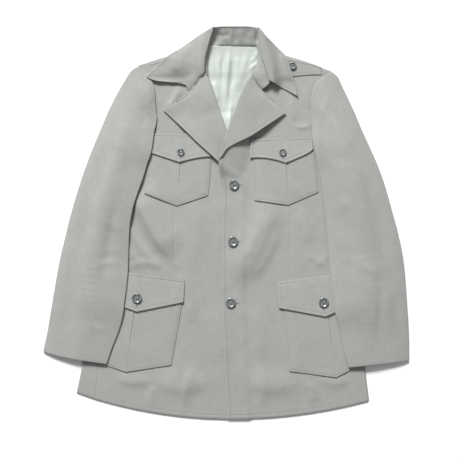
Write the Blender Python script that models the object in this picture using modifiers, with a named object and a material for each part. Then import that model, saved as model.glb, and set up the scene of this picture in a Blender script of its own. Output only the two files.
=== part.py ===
"""A single-breasted cotton jacket of military cut, laid flat on its back.

The jacket lies on the plane z = 0 with its neck towards +Y and its front up, so
+X is the wearer's left. The origin is the bottom centre of its box. Each piece
that a maker cuts is one closed wall of cloth. The pieces are laid down one after
another, and each one rests on the pieces under it, a seam's gap above them.
All sizes are millimetres and are turned to metres where a mesh is made.
"""
import math

import bmesh
import bpy
import numpy as np

MM = 0.001
COLLECTION = "military_jacket"

# Cloth and seams
CLOTH = 1.5             # wall of the body, sleeves and collar
THIN_CLOTH = 1.3        # wall of pockets and flaps
LINING_CLOTH = 1.0      # wall of the lining
SEAM = 0.3              # gap between pieces that are sewn together
SLOPE = 0.35            # steepest rise where cloth climbs over another piece

# Buttons
FRONT_BUTTON = 21.0     # diameter of front and hip pocket buttons
SMALL_BUTTON = 15.0     # diameter of chest pocket and epaulette buttons
BUTTON_HEIGHT = 3.0     # rim above the underside
BUTTON_SIDES = 16

# Sleeve as a flattened tube
SLEEVE_EDGE = 4.0       # outer height of the tube at its folded edges
HEAD_LEAN = 3.0         # how far the curve of the sleeve head leans to the shoulder
SLEEVE_CROWN = 1.5      # how much higher the tube is along its middle

# Mesh density
LAP_CROWDING = 1.3      # power that draws the left front's columns towards its lapping edge
BODY_STEP = 34.0
FRONT_STEP = 26.0
FINE_STEP = 17.0
SLEEVE_STEP = 32.0
REACH = 14.0             # how far round a point the pieces under it are felt

# Grid on which the pile of pieces is measured
CELL = 3.0
HALF_X = 420.0
HALF_Y = 440.0

# Panels: one row per cross section, from the hem or lower end upwards.
# first x, first y, second x, second y, dip of the middle towards the hem
BACK = (
    (-314, -357, 300, -373, 42),
    (-304, -308, 293, -314, 29),
    (-298, -257, 289, -257, 17),
    (-288, -184, 286, -184, 6),
    (-271, -100, 281, -100, 0),
    (-256, -26, 277, -26, 0),
    (-242, 37, 272, 37, 0),
    (-227, 102, 265, 91, 0),
    (-171, 142, 206, 125, 0),
    (-152, 182, 184, 159, 0),
    (-145, 219, 181, 194, 0),
    (-149, 247, 181, 232, 0),
    (-155, 282, 183, 266, -4),
    (-164, 306, 193, 293, -16),
    (-183, 329, 220, 317, -43),
)
WRAPPED_ROWS = 8        # rows of BACK that wrap round the wearer's right side to the side seam
# centre x, centre y, side x, side y, dip
FRONT_RIGHT = (
    (42, -412, -275, -370, 13),
    (37, -320, -268, -303, 10),
    (33, -236, -264, -257, 6),
    (30, -146, -258, -184, 2),
    (29, -58, -249, -100, 0),
    (30, 22, -239, -26, 0),
    (29, 85, -229, 37, 0),
    (26, 108, -217, 96, 0),
    (20, 126, -171, 142, 0),
    (11, 152, -152, 182, 0),
    (1, 184, -145, 219, 0),
    (-9, 217, -149, 247, 0),
    (-25, 270, -155, 285, 0),
    (-38, 310, -164, 308, 0),
    (-43, 341, -172, 320, 0),
    (-46, 371, -183, 330, 0),
)
FRONT_LEFT = (
    (3, -412, 298, -374, 10),
    (-2, -315, 291, -311, 6),
    (-7, -226, 286, -226, 4),
    (-9, -142, 283, -142, 2),
    (-10, -58, 278, -58, 0),
    (-7, 22, 273, 26, 0),
    (-6, 77, 263, 91, 0),
    (-14, 119, 206, 125, 0),
    (-9, 152, 184, 154, 0),
    (1, 184, 180, 188, 0),
    (17, 230, 181, 230, 0),
    (37, 280, 183, 267, 0),
    (52, 308, 193, 294, 0),
    (67, 337, 204, 309, 0),
    (76, 366, 220, 318, 0),
)
LINING = (
    (24, 152, -14, 152, 0),
    (42, 219, -24, 219, 0),
    (62, 274, -40, 274, 0),
    (74, 316, -54, 316, 0),
    (80, 348, -54, 348, 0),
    (67, 368, -30, 366, 0),
)
# Lapels: roll line x, roll line y, outer edge x, outer edge y
LAPEL_RIGHT = (
    (-46, 314, -74, 274),
    (-38, 300, -102, 255),
    (-32, 284, -131, 236),
    (-21, 253, -94, 202),
    (-9, 217, -57, 166),
    (2, 182, -29, 141),
    (12, 152, -8, 122),
    (22, 123, 19, 106),
)
LAPEL_LEFT = (
    (55, 309, 74, 276),
    (47, 298, 99, 253),
    (39, 286, 125, 230),
    (29, 261, 86, 204),
    (18, 230, 49, 180),
    (6, 198, 22, 167),
    (-3, 173, 1, 154),
    (-14, 133, -9, 140),
)
# Collar leaf, once round the neck from notch to notch.
# roll line x, y, outer edge or fold x, y, edge of the part behind the neck x, y
COLLAR_LEAF = (
    (-75.7, 275.7, -92, 294, -92, 294),
    (-66.0, 287.9, -113, 295, -113, 295),
    (-55.7, 301.6, -141, 300, -141, 300),
    (-46.5, 315.5, -166, 308, -166, 308),
    (-46, 333, -147, 327, -147, 327),
    (-44, 350, -124, 348, -124, 348),
    (-41, 361, -109, 358, -105, 350),
    (-40, 366, -92, 369, -92, 336),
    (-35, 383, -63, 389, -63, 331),
    (-30, 398, -42, 402, -42, 329),
    (-26, 408, -24, 411, -24, 329),
    (0, 412, 0, 412, 0, 329),
    (40, 412, 40, 412, 40, 329),
    (67, 408, 70, 408, 69, 329),
    (70, 394, 83, 393, 82, 330),
    (71, 379, 97, 379, 97, 333),
    (73, 366, 109, 367, 106, 350),
    (76, 348, 126, 348, 126, 348),
    (81, 331, 134, 320, 134, 320),
    (87, 312, 143, 291, 143, 291),
    (91, 298, 150, 266, 150, 266),
)
FOLD_DEPTH = 6.0        # how far inside its folded edge the leaf's height is taken
FOLD_FIRST = 6          # rows of COLLAR_LEAF between which it folds behind
FOLD_LAST = 16
BEHIND_FIRST = 10       # rows between which the whole leaf lies behind
BEHIND_LAST = 13
# Stand: neck seam x, y, roll line x, y
COLLAR_STAND = (
    (-38, 308, -47, 316),
    (-38, 345, -47, 348),
    (-35, 368, -42, 374),
    (-25, 372, -27, 403),
    (0, 371, 0, 408),
    (40, 369, 40, 408),
    (63, 368, 67, 400),
    (67, 350, 76, 362),
    (63, 327, 86, 329),
    (56.5, 309, 91, 308),
    (64.7, 294.3, 93, 298),
    (75.4, 277.5, 79, 281),
)
# Sleeves: outer fold x, y, inner fold x, y, bow of the section towards the neck
SLEEVE_RIGHT = (
    (-185, 328, -145, 219, 15),
    (-199, 319, -147, 203, 12),
    (-210, 303, -150, 192, 8),
    (-226, 276, -153, 169, 5),
    (-243, 243, -157, 146, 2),
    (-257, 211, -164, 125, 0),
    (-276, 166, -175, 89, 0),
    (-295, 117, -186, 58, 0),
    (-312, 66, -196, 24, 0),
    (-326, 18, -202, -18, 0),
    (-337, -26, -204, -58, 0),
    (-348, -72, -205, -96, 0),
    (-356, -114, -208, -131, 0),
    (-363, -156, -212, -163, 0),
    (-370, -196, -216, -196, 0),
    (-375, -228, -225, -228, 0),
    (-380, -251, -239, -264, -1),
    (-384, -270, -250, -297, -3),
)
SLEEVE_LEFT = (
    (222, 317, 180, 184, 23),
    (234, 307, 182, 171, 17),
    (243, 289, 185, 154, 11),
    (255, 264, 190, 129, 6),
    (270, 232, 197, 98, 2),
    (285, 196, 202, 68, 0),
    (301, 161, 206, 37, 0),
    (317, 125, 210, 5, 0),
    (333, 81, 213, -28, 0),
    (348, 28, 216, -70, 0),
    (361, -20, 219, -110, 0),
    (372, -75, 223, -146, 0),
    (377, -125, 227, -180, 0),
    (380, -171, 234, -209, 0),
    (383, -217, 242, -240, 0),
    (384, -255, 248, -272, 0),
    (384, -290, 257, -304, 0),
)
# Pockets and flaps: left x, y, right x, y, drop of the point below the edge, share of the width left of the point
POCKETS = {
    "chest_pocket_right": (
        (-156, 180, -28, 180, 0, 0.51),
        (-162, 131, -31, 131, 0, 0.51),
        (-171, 62, -38, 57, 24, 0.51),
    ),
    "hip_pocket_right": (
        (-243, -108, -90, -127, 0, 0.36),
        (-246, -163, -94, -173, 0, 0.36),
        (-260, -297, -115, -299, 16, 0.345),
    ),
    "chest_pocket_left": (
        (56, 169, 184, 173, 0, 0.53),
        (57, 131, 187, 135, 0, 0.53),
        (60, 47, 194, 64, 19, 0.53),
    ),
    "hip_pocket_left": (
        (114, -135, 275, -112, 0, 0.58),
        (119, -173, 276, -154, 0, 0.585),
        (133, -312, 281, -300, 21, 0.665),
    ),
}
FLAPS = {
    "chest_flap_right": (
        (-156, 188, -28, 187, 0, 0.475),
        (-158, 147, -33, 139, 16, 0.475),
    ),
    "hip_flap_right": (
        (-245, -99, -87, -120, 0, 0.38),
        (-247, -165, -90, -167, 21, 0.38),
    ),
    "chest_flap_left": (
        (53, 176, 181, 181, 0, 0.57),
        (50, 136, 182, 155, 21, 0.57),
    ),
    "hip_flap_left": (
        (107, -124, 273, -101, 0, 0.59),
        (111, -179, 276, -169, 24, 0.59),
    ),
}
PLEAT_WIDTH = 7.0       # fold that stands down the middle of each pocket
PLEAT_HEIGHT = 1.0
# Epaulettes: upper edge x, y, lower edge x, y, dip
EPAULETTES = {
    "epaulette_right": (
        (-84, 352, -82, 325, 0),
        (-101, 350, -99, 318, 0),
        (-120, 345, -118, 316, 0),
        (-143, 338, -143, 314, 0),
        (-160, 333, -159, 312, 0),
    ),
    "epaulette_left": (
        (122, 344, 121, 312, 0),
        (136, 343, 135, 308, 0),
        (155, 339, 155, 309, 0),
        (181, 333, 181, 311, 0),
        (200, 326, 200, 311, 0),
    ),
}
# Buttons: x, y, diameter, the piece that each one lies on
BUTTONS = {
    "button_front_top": (17, 79, FRONT_BUTTON, "front_left"),
    "button_front_middle": (15, -40, FRONT_BUTTON, "front_left"),
    "button_front_bottom": (10, -169, FRONT_BUTTON, "front_left"),
    "button_chest_right": (-95, 148, SMALL_BUTTON, "chest_flap_right"),
    "button_chest_left": (119, 147, SMALL_BUTTON, "chest_flap_left"),
    "button_hip_right": (-187, -159, FRONT_BUTTON, "hip_flap_right"),
    "button_hip_left": (205, -168, FRONT_BUTTON, "hip_flap_left"),
    "button_shoulder_right": (-103, 334, SMALL_BUTTON, "epaulette_right"),
    "button_shoulder_left": (140, 329, SMALL_BUTTON, "epaulette_left"),
}

# Folds: start x, y, end x, y, half width, rise of the cloth along the fold
FRONT_RIGHT_FOLDS = (
    (-182, 40, -158, -24, 17, 2.6),
    (-158, -24, -137, -53, 16, 2.6),
    (-137, -53, -108, -76, 15, 2.2),
    (-205, -80, -130, -90, 12, 1.2),
    (-146, -330, -20, -344, 26, 1.8),
    (-100, 236, -92, 290, 12, 1.2),
    (-70, 60, -60, -80, 18, 0.8),
)
FRONT_LEFT_FOLDS = (
    (95, 16, 80, -41, 18, 2.8),
    (80, -41, 59, -83, 17, 2.8),
    (59, -83, 28, -118, 16, 2.4),
    (168, -60, 208, -92, 12, 1.6),
    (134, 262, 146, 206, 12, 1.4),
    (140, 204, 176, 202, 10, 1.4),
    (36, -336, 160, -346, 26, 1.8),
)
SLEEVE_RIGHT_FOLDS = (
    (-212, 236, -262, 40, 24, 1.0),
    (-262, 40, -318, -250, 26, 1.0),
    (-171, 280, -152, 252, 8, 0.8),
    (-290, -206, -246, -226, 12, 0.8),
)
SLEEVE_LEFT_FOLDS = (
    (236, 250, 290, 40, 24, 1.0),
    (300, 20, 330, -250, 24, 1.0),
    (262, -92, 320, -106, 12, 0.8),
    (200, 236, 222, 196, 10, 0.8),
)
COLLAR_FOLDS = (
    (-120, 322, -60, 336, 10, 0.8),
)
LINING_FOLDS = (
    (4, 356, 4, 190, 7, 1.4),
    (-26, 350, -12, 240, 7, 0.9),
    (48, 356, 26, 250, 8, 0.9),
)

# Colours as red, green, blue in linear light
CLOTH_COLOUR = (0.40, 0.41, 0.39)
SLEEVE_COLOUR = (0.44, 0.45, 0.43)
LINING_COLOUR = (0.66, 0.72, 0.65)
BUTTON_COLOUR = (0.16, 0.17, 0.18)


def steep(rows, along):
    """Slope of each column at each row, zero where a column turns back, so no curve overshoots."""
    gaps = np.diff(along)[:, None]
    rise = np.diff(rows, axis=0) / gaps
    before, after = rise[:-1], rise[1:]
    same = before * after > 0
    total = np.where(same, before + after, 1.0)
    middle = np.where(same, 2 * before * after / total, 0.0)
    return np.vstack((rise[:1], middle, rise[-1:]))


def resample(table, step, trim=0.0):
    """Rows about one step apart on a smooth curve through every row, the first drawn in by the trim."""
    rows = np.array(table, float)
    rails = [np.hypot(np.diff(rows[:, i]), np.diff(rows[:, i + 1])) for i in (0, 2)]
    along = np.concatenate(([0.0], np.cumsum(np.maximum(*rails))))
    slope = steep(rows, along)
    marks = [along[:1]]
    for start, end in zip(along[:-1], along[1:]):
        marks.append(np.linspace(start, end, max(1, round((end - start) / step)) + 1)[1:])
    at = np.concatenate(marks)
    at[0] += trim
    index = np.clip(np.searchsorted(along, at, side="right") - 1, 0, len(along) - 2)
    length = (along[index + 1] - along[index])[:, None]
    t = ((at - along[index])[:, None]) / length
    first, last = rows[index], rows[index + 1]
    return ((1 + 2 * t) * (1 - t) ** 2 * first + t * (1 - t) ** 2 * length * slope[index]
            + t ** 2 * (3 - 2 * t) * last + t ** 2 * (t - 1) * length * slope[index + 1])


def row_of(rows, table_row):
    """Index of the resampled row that stands for a row of the table."""
    return int(np.argmin(np.abs(rows - np.array(table_row, float)).sum(axis=1)))


def shares(count):
    """Even steps from 0 to 1 across a panel."""
    return np.linspace(0, 1, count)


def lay_out(rows, across):
    """Plan x and y of a panel: straight sections between two rails, with a curved dip."""
    v = across[None, :]
    dip = rows[:, 4:5] * 4 * v * (1 - v) if rows.shape[1] > 4 else 0.0
    x = rows[:, 0:1] + (rows[:, 2:3] - rows[:, 0:1]) * v
    y = rows[:, 1:2] + (rows[:, 3:4] - rows[:, 1:2]) * v - dip
    return x, y


def lay_out_pointed(rows, left, right):
    """Plan x and y of a pocket or flap: columns on both sides of a point in the lower edge.

    left and right are shares of the way from the edge to the point.
    """
    point = rows[:, 5:6]
    v = np.concatenate((point * left, 1 - (1 - point) * right[::-1]), axis=1)
    dip = rows[:, 4:5] * np.concatenate((left, right[::-1]))
    x = rows[:, 0:1] + (rows[:, 2:3] - rows[:, 0:1]) * v
    y = rows[:, 1:2] + (rows[:, 3:4] - rows[:, 1:2]) * v - dip
    return x, y


def folds(x, y, table):
    """Rise of the cloth: a soft ridge along each fold's line, fading at both ends."""
    rise = np.zeros(np.broadcast(x, y).shape)
    for x0, y0, x1, y1, width, height in table:
        length = math.hypot(x1 - x0, y1 - y0)
        ux, uy = (x1 - x0) / length, (y1 - y0) / length
        along = (x - x0) * ux + (y - y0) * uy
        beside = (y - y0) * ux - (x - x0) * uy
        past = np.maximum(0, np.abs(along - length / 2) - length / 2 + width)
        rise = np.maximum(rise, height * np.exp(-(beside ** 2 + past ** 2) / width ** 2))
    return rise


class Pile:
    """Top height of every piece laid down so far, on a square grid over the table."""

    def __init__(self):
        self.tops = {}
        self.x = np.arange(-HALF_X, HALF_X + CELL, CELL)
        self.y = np.arange(-HALF_Y, HALF_Y + CELL, CELL)

    def lay(self, name, x, y, z):
        """Record a piece's top surface, with a rim of one cell round its outline."""
        top = self.tops.setdefault(name, np.zeros((len(self.y), len(self.x))))
        points = np.dstack(np.broadcast_arrays(x, y, z))
        corners = (points[:-1, :-1], points[:-1, 1:], points[1:, 1:], points[1:, :-1])
        for a, b, c, d in zip(*(corner.reshape(-1, 3) for corner in corners)):
            self._triangle(top, a, b, c)
            self._triangle(top, a, c, d)

    def _triangle(self, top, a, b, c):
        low = np.minimum(np.minimum(a, b), c)
        high = np.maximum(np.maximum(a, b), c)
        i = slice(*np.searchsorted(self.y, (low[1] - CELL, high[1] + CELL)))
        j = slice(*np.searchsorted(self.x, (low[0] - CELL, high[0] + CELL)))
        area = (b[0] - a[0]) * (c[1] - a[1]) - (c[0] - a[0]) * (b[1] - a[1])
        if abs(area) < 1e-6:
            return
        px, py = self.x[None, j], self.y[i, None]
        wb = ((px - a[0]) * (c[1] - a[1]) - (c[0] - a[0]) * (py - a[1])) / area
        wc = ((b[0] - a[0]) * (py - a[1]) - (px - a[0]) * (b[1] - a[1])) / area
        wa = 1 - wb - wc
        size = math.sqrt(abs(area))
        inside = (wa > -CELL / size) & (wb > -CELL / size) & (wc > -CELL / size)
        z = np.minimum(wa * a[2] + wb * b[2] + wc * c[2], high[2])
        top[i, j] = np.where(inside, np.maximum(top[i, j], z), top[i, j])

    @staticmethod
    def _spread(height, drop, diagonal_drop):
        """Each cell takes its highest neighbour, less a drop for the distance."""
        padded = np.pad(height, 1)
        rows, columns = height.shape
        best = height
        for i in range(3):
            for j in range(3):
                fall = (0, drop, diagonal_drop)[abs(i - 1) + abs(j - 1)]
                best = np.maximum(best, padded[i:i + rows, j:j + columns] - fall)
        return best

    def rest(self, names, x, y, reach):
        """Height at which cloth rests on the named pieces, eased down to the table beside them."""
        height = np.zeros((len(self.y), len(self.x)))
        for name in names:
            height = np.maximum(height, self.tops[name])
        for _ in range(round(reach / CELL)):
            height = self._spread(height, 0.0, 0.0)
        steps = int(height.max() / (SLOPE * CELL)) + 1
        for _ in range(steps):
            height = self._spread(height, SLOPE * CELL, SLOPE * CELL * math.sqrt(2))
        x, y = np.broadcast_arrays(x, y)
        i = np.clip(np.rint((y - self.y[0]) / CELL).astype(int), 0, len(self.y) - 1)
        j = np.clip(np.rint((x - self.x[0]) / CELL).astype(int), 0, len(self.x) - 1)
        found = height[i, j]
        return found + SEAM * np.clip(found / LINING_CLOTH, 0, 1)


def new_object(name, mesh, colour, roughness=0.9):
    """Add a mesh to the jacket's collection with its own material."""
    material = bpy.data.materials.new(name)
    material.use_nodes = True
    shader = material.node_tree.nodes["Principled BSDF"]
    shader.inputs["Base Color"].default_value = (*colour, 1.0)
    shader.inputs["Roughness"].default_value = roughness
    shader.inputs["Metallic"].default_value = 0.0
    piece = bpy.data.objects.new(name, mesh)
    if mesh.materials:
        piece.material_slots[0].link = "OBJECT"
        piece.material_slots[0].material = material
    else:
        mesh.materials.append(material)
    bpy.data.collections[COLLECTION].objects.link(piece)
    return piece


def wall(name, outer, inner, colour, closed=False, keep=None):
    """Close two grids of points into one wall of cloth, joined round every open edge."""
    rows, columns = outer.shape[:2]
    ring = columns if closed else columns - 1
    quads = []
    for i in range(rows - 1):
        for j in range(ring):
            if keep is None or keep[i, j]:
                k = (j + 1) % columns
                this, after = i * columns, (i + 1) * columns
                quads.append((this + j, this + k, after + k, after + j))
    count = rows * columns
    edges = {}
    for quad in quads:
        for a, b in zip(quad, quad[1:] + quad[:1]):
            edges[(a, b)] = True
    rim = [(a, b) for a, b in edges if (b, a) not in edges]
    faces = quads + [tuple(count + i for i in reversed(quad)) for quad in quads]
    faces += [(b, a, count + a, count + b) for a, b in rim]
    points = np.concatenate((outer.reshape(-1, 3), inner.reshape(-1, 3))) * MM
    mesh = bpy.data.meshes.new(name)
    mesh.from_pydata(points.tolist(), [], faces)
    tidy = bmesh.new()
    tidy.from_mesh(mesh)
    bmesh.ops.delete(tidy, geom=[v for v in tidy.verts if not v.link_faces], context="VERTS")
    bmesh.ops.recalc_face_normals(tidy, faces=tidy.faces)
    tidy.to_mesh(mesh)
    tidy.free()
    mesh.shade_smooth()
    return new_object(name, mesh, colour)


def spread_panel(pile, name, x, y, over, cloth, colour, rise=0.0, reach=REACH):
    """Lay a flat panel on the pieces under it and add it to the pile."""
    base = pile.rest(over, x, y, reach) + rise
    top = np.dstack(np.broadcast_arrays(x, y, base + cloth))
    pile.lay(name, x, y, base + cloth)
    return wall(name, top, top - (0, 0, cloth), colour)


def make_back(pile):
    """Back panel on the table, wrapped round the wearer's right side to the side seam."""
    rows = resample(BACK, BODY_STEP)
    x, y = lay_out(rows, shares(13))
    base = pile.rest(["collar_behind"], x, y, BODY_STEP)
    wrapped = 1 + row_of(rows, BACK[WRAPPED_ROWS - 1])
    seam = resample(FRONT_RIGHT, FINE_STEP)[:, 2:4]
    seam = seam[:1 + row_of(seam, FRONT_RIGHT[WRAPPED_ROWS - 1][2:4])]
    seam_y = np.linspace(seam[0, 1], seam[-1, 1], wrapped)
    seam_x = np.interp(seam_y, seam[:, 1], seam[:, 0]) - 2 * SEAM
    radius = CLOTH + SEAM / 2
    x[:wrapped, 0] += radius
    turn = np.radians((50, 0, -50))
    strip = np.linspace(1, 0, 3)
    columns = len(strip) + len(turn)
    outer = np.zeros((len(rows), columns + x.shape[1], 3))
    inner = outer.copy()
    edge = np.stack((rows[:, 0] + radius, rows[:, 1]), axis=1)
    for level, grid in ((CLOTH / 2, outer), (-CLOTH / 2, inner)):
        sheet = base + CLOTH / 2 - level
        grid[:, columns:] = np.dstack((x, y, sheet))
        bend = radius - CLOTH / 2 + level
        for k, angle in enumerate(turn):
            grid[:, len(strip) + k, 0] = edge[:, 0] - bend * math.cos(angle)
            grid[:, len(strip) + k, 1] = edge[:, 1]
            grid[:, len(strip) + k, 2] = radius + bend * math.sin(angle)
        for k, share in enumerate(strip):
            grid[:wrapped, k, 0] = edge[:wrapped, 0] + (seam_x - edge[:wrapped, 0]) * share
            grid[:wrapped, k, 1] = edge[:wrapped, 1] + (seam_y - edge[:wrapped, 1]) * share
            grid[:, k, 2] = radius + bend
    keep = np.ones((len(rows) - 1, outer.shape[1] - 1), bool)
    keep[wrapped - 1:, :columns] = False
    pile.lay("back", x, y, base + CLOTH)
    strip_grid = outer[:wrapped, :len(strip)]
    pile.lay("back_wrap", strip_grid[..., 0], strip_grid[..., 1], strip_grid[..., 2])
    return wall("back", outer, inner, CLOTH_COLOUR, keep=keep)


def make_fronts(pile):
    """Right front with its pockets and lapel, then the left front that laps over it."""
    rows = resample(FRONT_RIGHT, FRONT_STEP)
    x, y = lay_out(rows, shares(14))
    over = ("back", "back_lining")
    spread_panel(pile, "front_right", x, y, over, CLOTH, CLOTH_COLOUR, folds(x, y, FRONT_RIGHT_FOLDS))
    make_pockets(pile, "right")
    rows = resample(LAPEL_RIGHT, FINE_STEP, trim=2 * SEAM)
    x, y = lay_out(rows, shares(6))
    over = ("front_right", "back_lining", "chest_pocket_right", "chest_flap_right")
    spread_panel(pile, "lapel_right", x, y, over, CLOTH, CLOTH_COLOUR)
    rows = resample(FRONT_LEFT, FRONT_STEP)
    x, y = lay_out(rows, shares(15) ** LAP_CROWDING)
    over = ("back", "back_lining", "front_right", "lapel_right")
    spread_panel(pile, "front_left", x, y, over, CLOTH, CLOTH_COLOUR, folds(x, y, FRONT_LEFT_FOLDS))
    make_pockets(pile, "left")
    rows = resample(LAPEL_LEFT, FINE_STEP, trim=2 * SEAM)
    x, y = lay_out(rows, shares(6))
    over = ("front_left", "front_right", "lapel_right", "back_lining")
    spread_panel(pile, "lapel_left", x, y, over, CLOTH, CLOTH_COLOUR)


def make_pockets(pile, side):
    """Patch pockets with a standing pleat, and the pointed flaps over them."""
    for place in ("chest", "hip"):
        pocket, flap = f"{place}_pocket_{side}", f"{place}_flap_{side}"
        front = (f"front_{side}",)
        rows = resample(POCKETS[pocket], FINE_STEP * 2)
        half_width = math.hypot(rows[0, 2] - rows[0, 0], rows[0, 3] - rows[0, 1]) / 2
        pleat = PLEAT_WIDTH / 2 / half_width
        share = np.append(np.linspace(0, 1 - 2 * pleat, 4), 1 - pleat)
        x, y = lay_out_pointed(rows, share, share)
        crest = np.concatenate((share, share[::-1])) > 1 - 1.5 * pleat
        spread_panel(pile, pocket, x, y, front, THIN_CLOTH, CLOTH_COLOUR, np.where(crest, PLEAT_HEIGHT, 0.0))
        rows = resample(FLAPS[flap], FINE_STEP)
        x, y = lay_out_pointed(rows, np.linspace(0, 1, 5), np.linspace(0, 1, 5)[:-1])
        spread_panel(pile, flap, x, y, (*front, pocket), THIN_CLOTH, CLOTH_COLOUR)


def make_collar(pile, rows):
    """Leaf of the collar: on the shoulders in front, folded round and behind the neck."""
    over = ("back", "back_lining", "front_left", "front_right", "epaulette_left", "epaulette_right",
            "button_shoulder_right", "collar_stand")
    fold_first, fold_last = row_of(rows, COLLAR_LEAF[FOLD_FIRST]), row_of(rows, COLLAR_LEAF[FOLD_LAST])
    behind_first, behind_last = row_of(rows, COLLAR_LEAF[BEHIND_FIRST]), row_of(rows, COLLAR_LEAF[BEHIND_LAST])
    roll, edge, behind = rows[:, 0:2], rows[:, 2:4], rows[:, 4:6]
    along = np.gradient(edge, axis=0)
    inward = np.stack((along[:, 1], -along[:, 0]), axis=1)
    inward /= np.linalg.norm(inward, axis=1)[:, None]
    near_edge = edge + FOLD_DEPTH * inward
    height = pile.rest(over, near_edge[:, 0], near_edge[:, 1], REACH) + CLOTH
    folded = np.zeros(len(rows), bool)
    folded[fold_first:fold_last + 1] = True
    radius = np.where(folded, height / 2, 0.0)
    start = edge + inward * radius[:, None]
    v = shares(7)[None, :, None]
    front = roll[:, None, :] * (1 - v) + start[:, None, :] * v
    front_z = pile.rest(over, front[..., 0], front[..., 1], REACH)
    front_z += folds(front[..., 0], front[..., 1], COLLAR_FOLDS)
    front_z[:, -1] = np.where(folded, height - CLOTH, front_z[:, -1])
    turn = np.radians((60, 30, 0, -30, -60))
    w = np.linspace(0, 1, 5)[None, :, None]
    back = start[:, None, :] * (1 - w) + behind[:, None, :] * w
    grids = []
    for depth in (0.0, CLOTH):
        bend = np.maximum(radius - depth, 0.05)
        top = np.dstack((front, front_z + CLOTH - depth))
        arc = np.zeros((len(rows), len(turn), 3))
        arc[..., :2] = start[:, None, :] - inward[:, None, :] * (bend[:, None, None] * np.cos(turn)[None, :, None])
        arc[..., 2] = radius[:, None] + bend[:, None] * np.sin(turn)[None, :]
        under = np.dstack((back, np.full(back.shape[:2], depth)))
        grids.append(np.concatenate((top, arc, under), axis=1))
    columns = grids[0].shape[1] - 1
    keep = np.ones((len(rows) - 1, columns), bool)
    front_columns = v.shape[1] - 1
    keep[behind_first:behind_last, :front_columns] = False
    keep[:fold_first, front_columns:] = False
    keep[fold_last:, front_columns:] = False
    return wall("collar_leaf", grids[0], grids[1], CLOTH_COLOUR, keep=keep)


def lay_collar_behind(pile, rows):
    """Add the part of the leaf behind the neck to the pile, because the back rests on it."""
    first, last = row_of(rows, COLLAR_LEAF[FOLD_FIRST]), row_of(rows, COLLAR_LEAF[FOLD_LAST])
    edge, behind = rows[first:last + 1, 2:4], rows[first:last + 1, 4:6]
    w = np.linspace(0, 1, 5)[None, :]
    x = edge[:, 0:1] * (1 - w) + behind[:, 0:1] * w
    y = edge[:, 1:2] * (1 - w) + behind[:, 1:2] * w
    pile.lay("collar_behind", x, y, np.full(x.shape, CLOTH))


def make_sleeve(pile, name, table, side, over, fold_table):
    """Sleeve: a flattened tube, folded along both edges and open at armhole and cuff."""
    rows = resample(table, SLEEVE_STEP)
    outer_edge, inner_edge, bow = rows[:, 0:2], rows[:, 2:4], rows[:, 4]
    chord = inner_edge - outer_edge
    width = np.linalg.norm(chord, axis=1)
    unit = chord / width[:, None]
    up = np.stack((-unit[:, 1], unit[:, 0]), axis=1) * -side
    radius = SLEEVE_EDGE / 2
    turn = np.radians((45, 0, -45))
    flat = shares(9)
    grids = []
    for depth in (0.0, CLOTH):
        bend = radius - depth
        share = (radius / width)[:, None]
        middle = share + (1 - 2 * share) * flat[None, :]
        arc_out = share * (1 - bend / radius * np.cos(turn)[None, :])
        v = np.concatenate((middle, 1 - arc_out, middle[:, ::-1], arc_out[:, ::-1]), axis=1)
        crown = SLEEVE_CROWN * (1 - (2 * middle - 1) ** 4)
        lift = np.concatenate((SLEEVE_EDGE + crown - depth,
                               np.broadcast_to(radius + bend * np.sin(turn), arc_out.shape),
                               np.full(middle.shape, depth),
                               np.broadcast_to(radius - bend * np.sin(turn), arc_out.shape)), axis=1)
        bulge = (bow[:, None] * v * (1 - v) * (4 + HEAD_LEAN * (1 - 2 * v)))[..., None] * up[:, None, :]
        plan = outer_edge[:, None, :] + chord[:, None, :] * v[..., None] + bulge
        base = pile.rest(over, plan[..., 0], plan[..., 1], FINE_STEP)
        creases = folds(plan[..., 0], plan[..., 1], fold_table)
        creases[:, len(flat):] = 0.0
        grids.append(np.dstack((plan, base + lift + creases)))
    top = grids[0][:, :len(flat)]
    pile.lay(name, top[..., 0], top[..., 1], top[..., 2])
    return wall(name, grids[0], grids[1], SLEEVE_COLOUR, closed=True)


def button_mesh(diameter):
    """A dished button with a raised rim and a boss, as a turned profile."""
    r = diameter / 2
    profile = (
        (0.0, BUTTON_HEIGHT * 0.72), (r * 0.18, BUTTON_HEIGHT * 0.70), (r * 0.30, BUTTON_HEIGHT * 0.50),
        (r * 0.58, BUTTON_HEIGHT * 0.52), (r * 0.74, BUTTON_HEIGHT * 0.96), (r * 0.90, BUTTON_HEIGHT),
        (r, BUTTON_HEIGHT * 0.72), (r * 0.94, 0.0), (0.0, 0.0),
    )
    mesh = bpy.data.meshes.new(f"button_{diameter:.0f}")
    points = [(x * MM, 0.0, z * MM) for x, z in profile]
    mesh.from_pydata(points, [(i, i + 1) for i in range(len(points) - 1)], [])
    return mesh


def make_buttons(pile):
    """Each button lies flat on its flap, front or epaulette."""
    meshes = {size: button_mesh(size) for size in (FRONT_BUTTON, SMALL_BUTTON)}
    angles = np.linspace(0, 2 * math.pi, BUTTON_SIDES)
    for name, (x, y, size, carrier) in BUTTONS.items():
        base = float(pile.rest((carrier,), np.array([x]), np.array([y]), size / 2)[0])
        button = new_object(name, meshes[size], BUTTON_COLOUR, roughness=0.25)
        button.location = (x * MM, y * MM, base * MM)
        turn = button.modifiers.new("Turn", "SCREW")
        turn.steps = BUTTON_SIDES
        turn.render_steps = BUTTON_SIDES
        turn.use_merge_vertices = True
        turn.merge_threshold = 0.00001
        reach = np.array((0.0, size / 2))[:, None]
        top = np.full((2, BUTTON_SIDES), base + BUTTON_HEIGHT)
        pile.lay(name, x + reach * np.cos(angles), y + reach * np.sin(angles), top)


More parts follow.
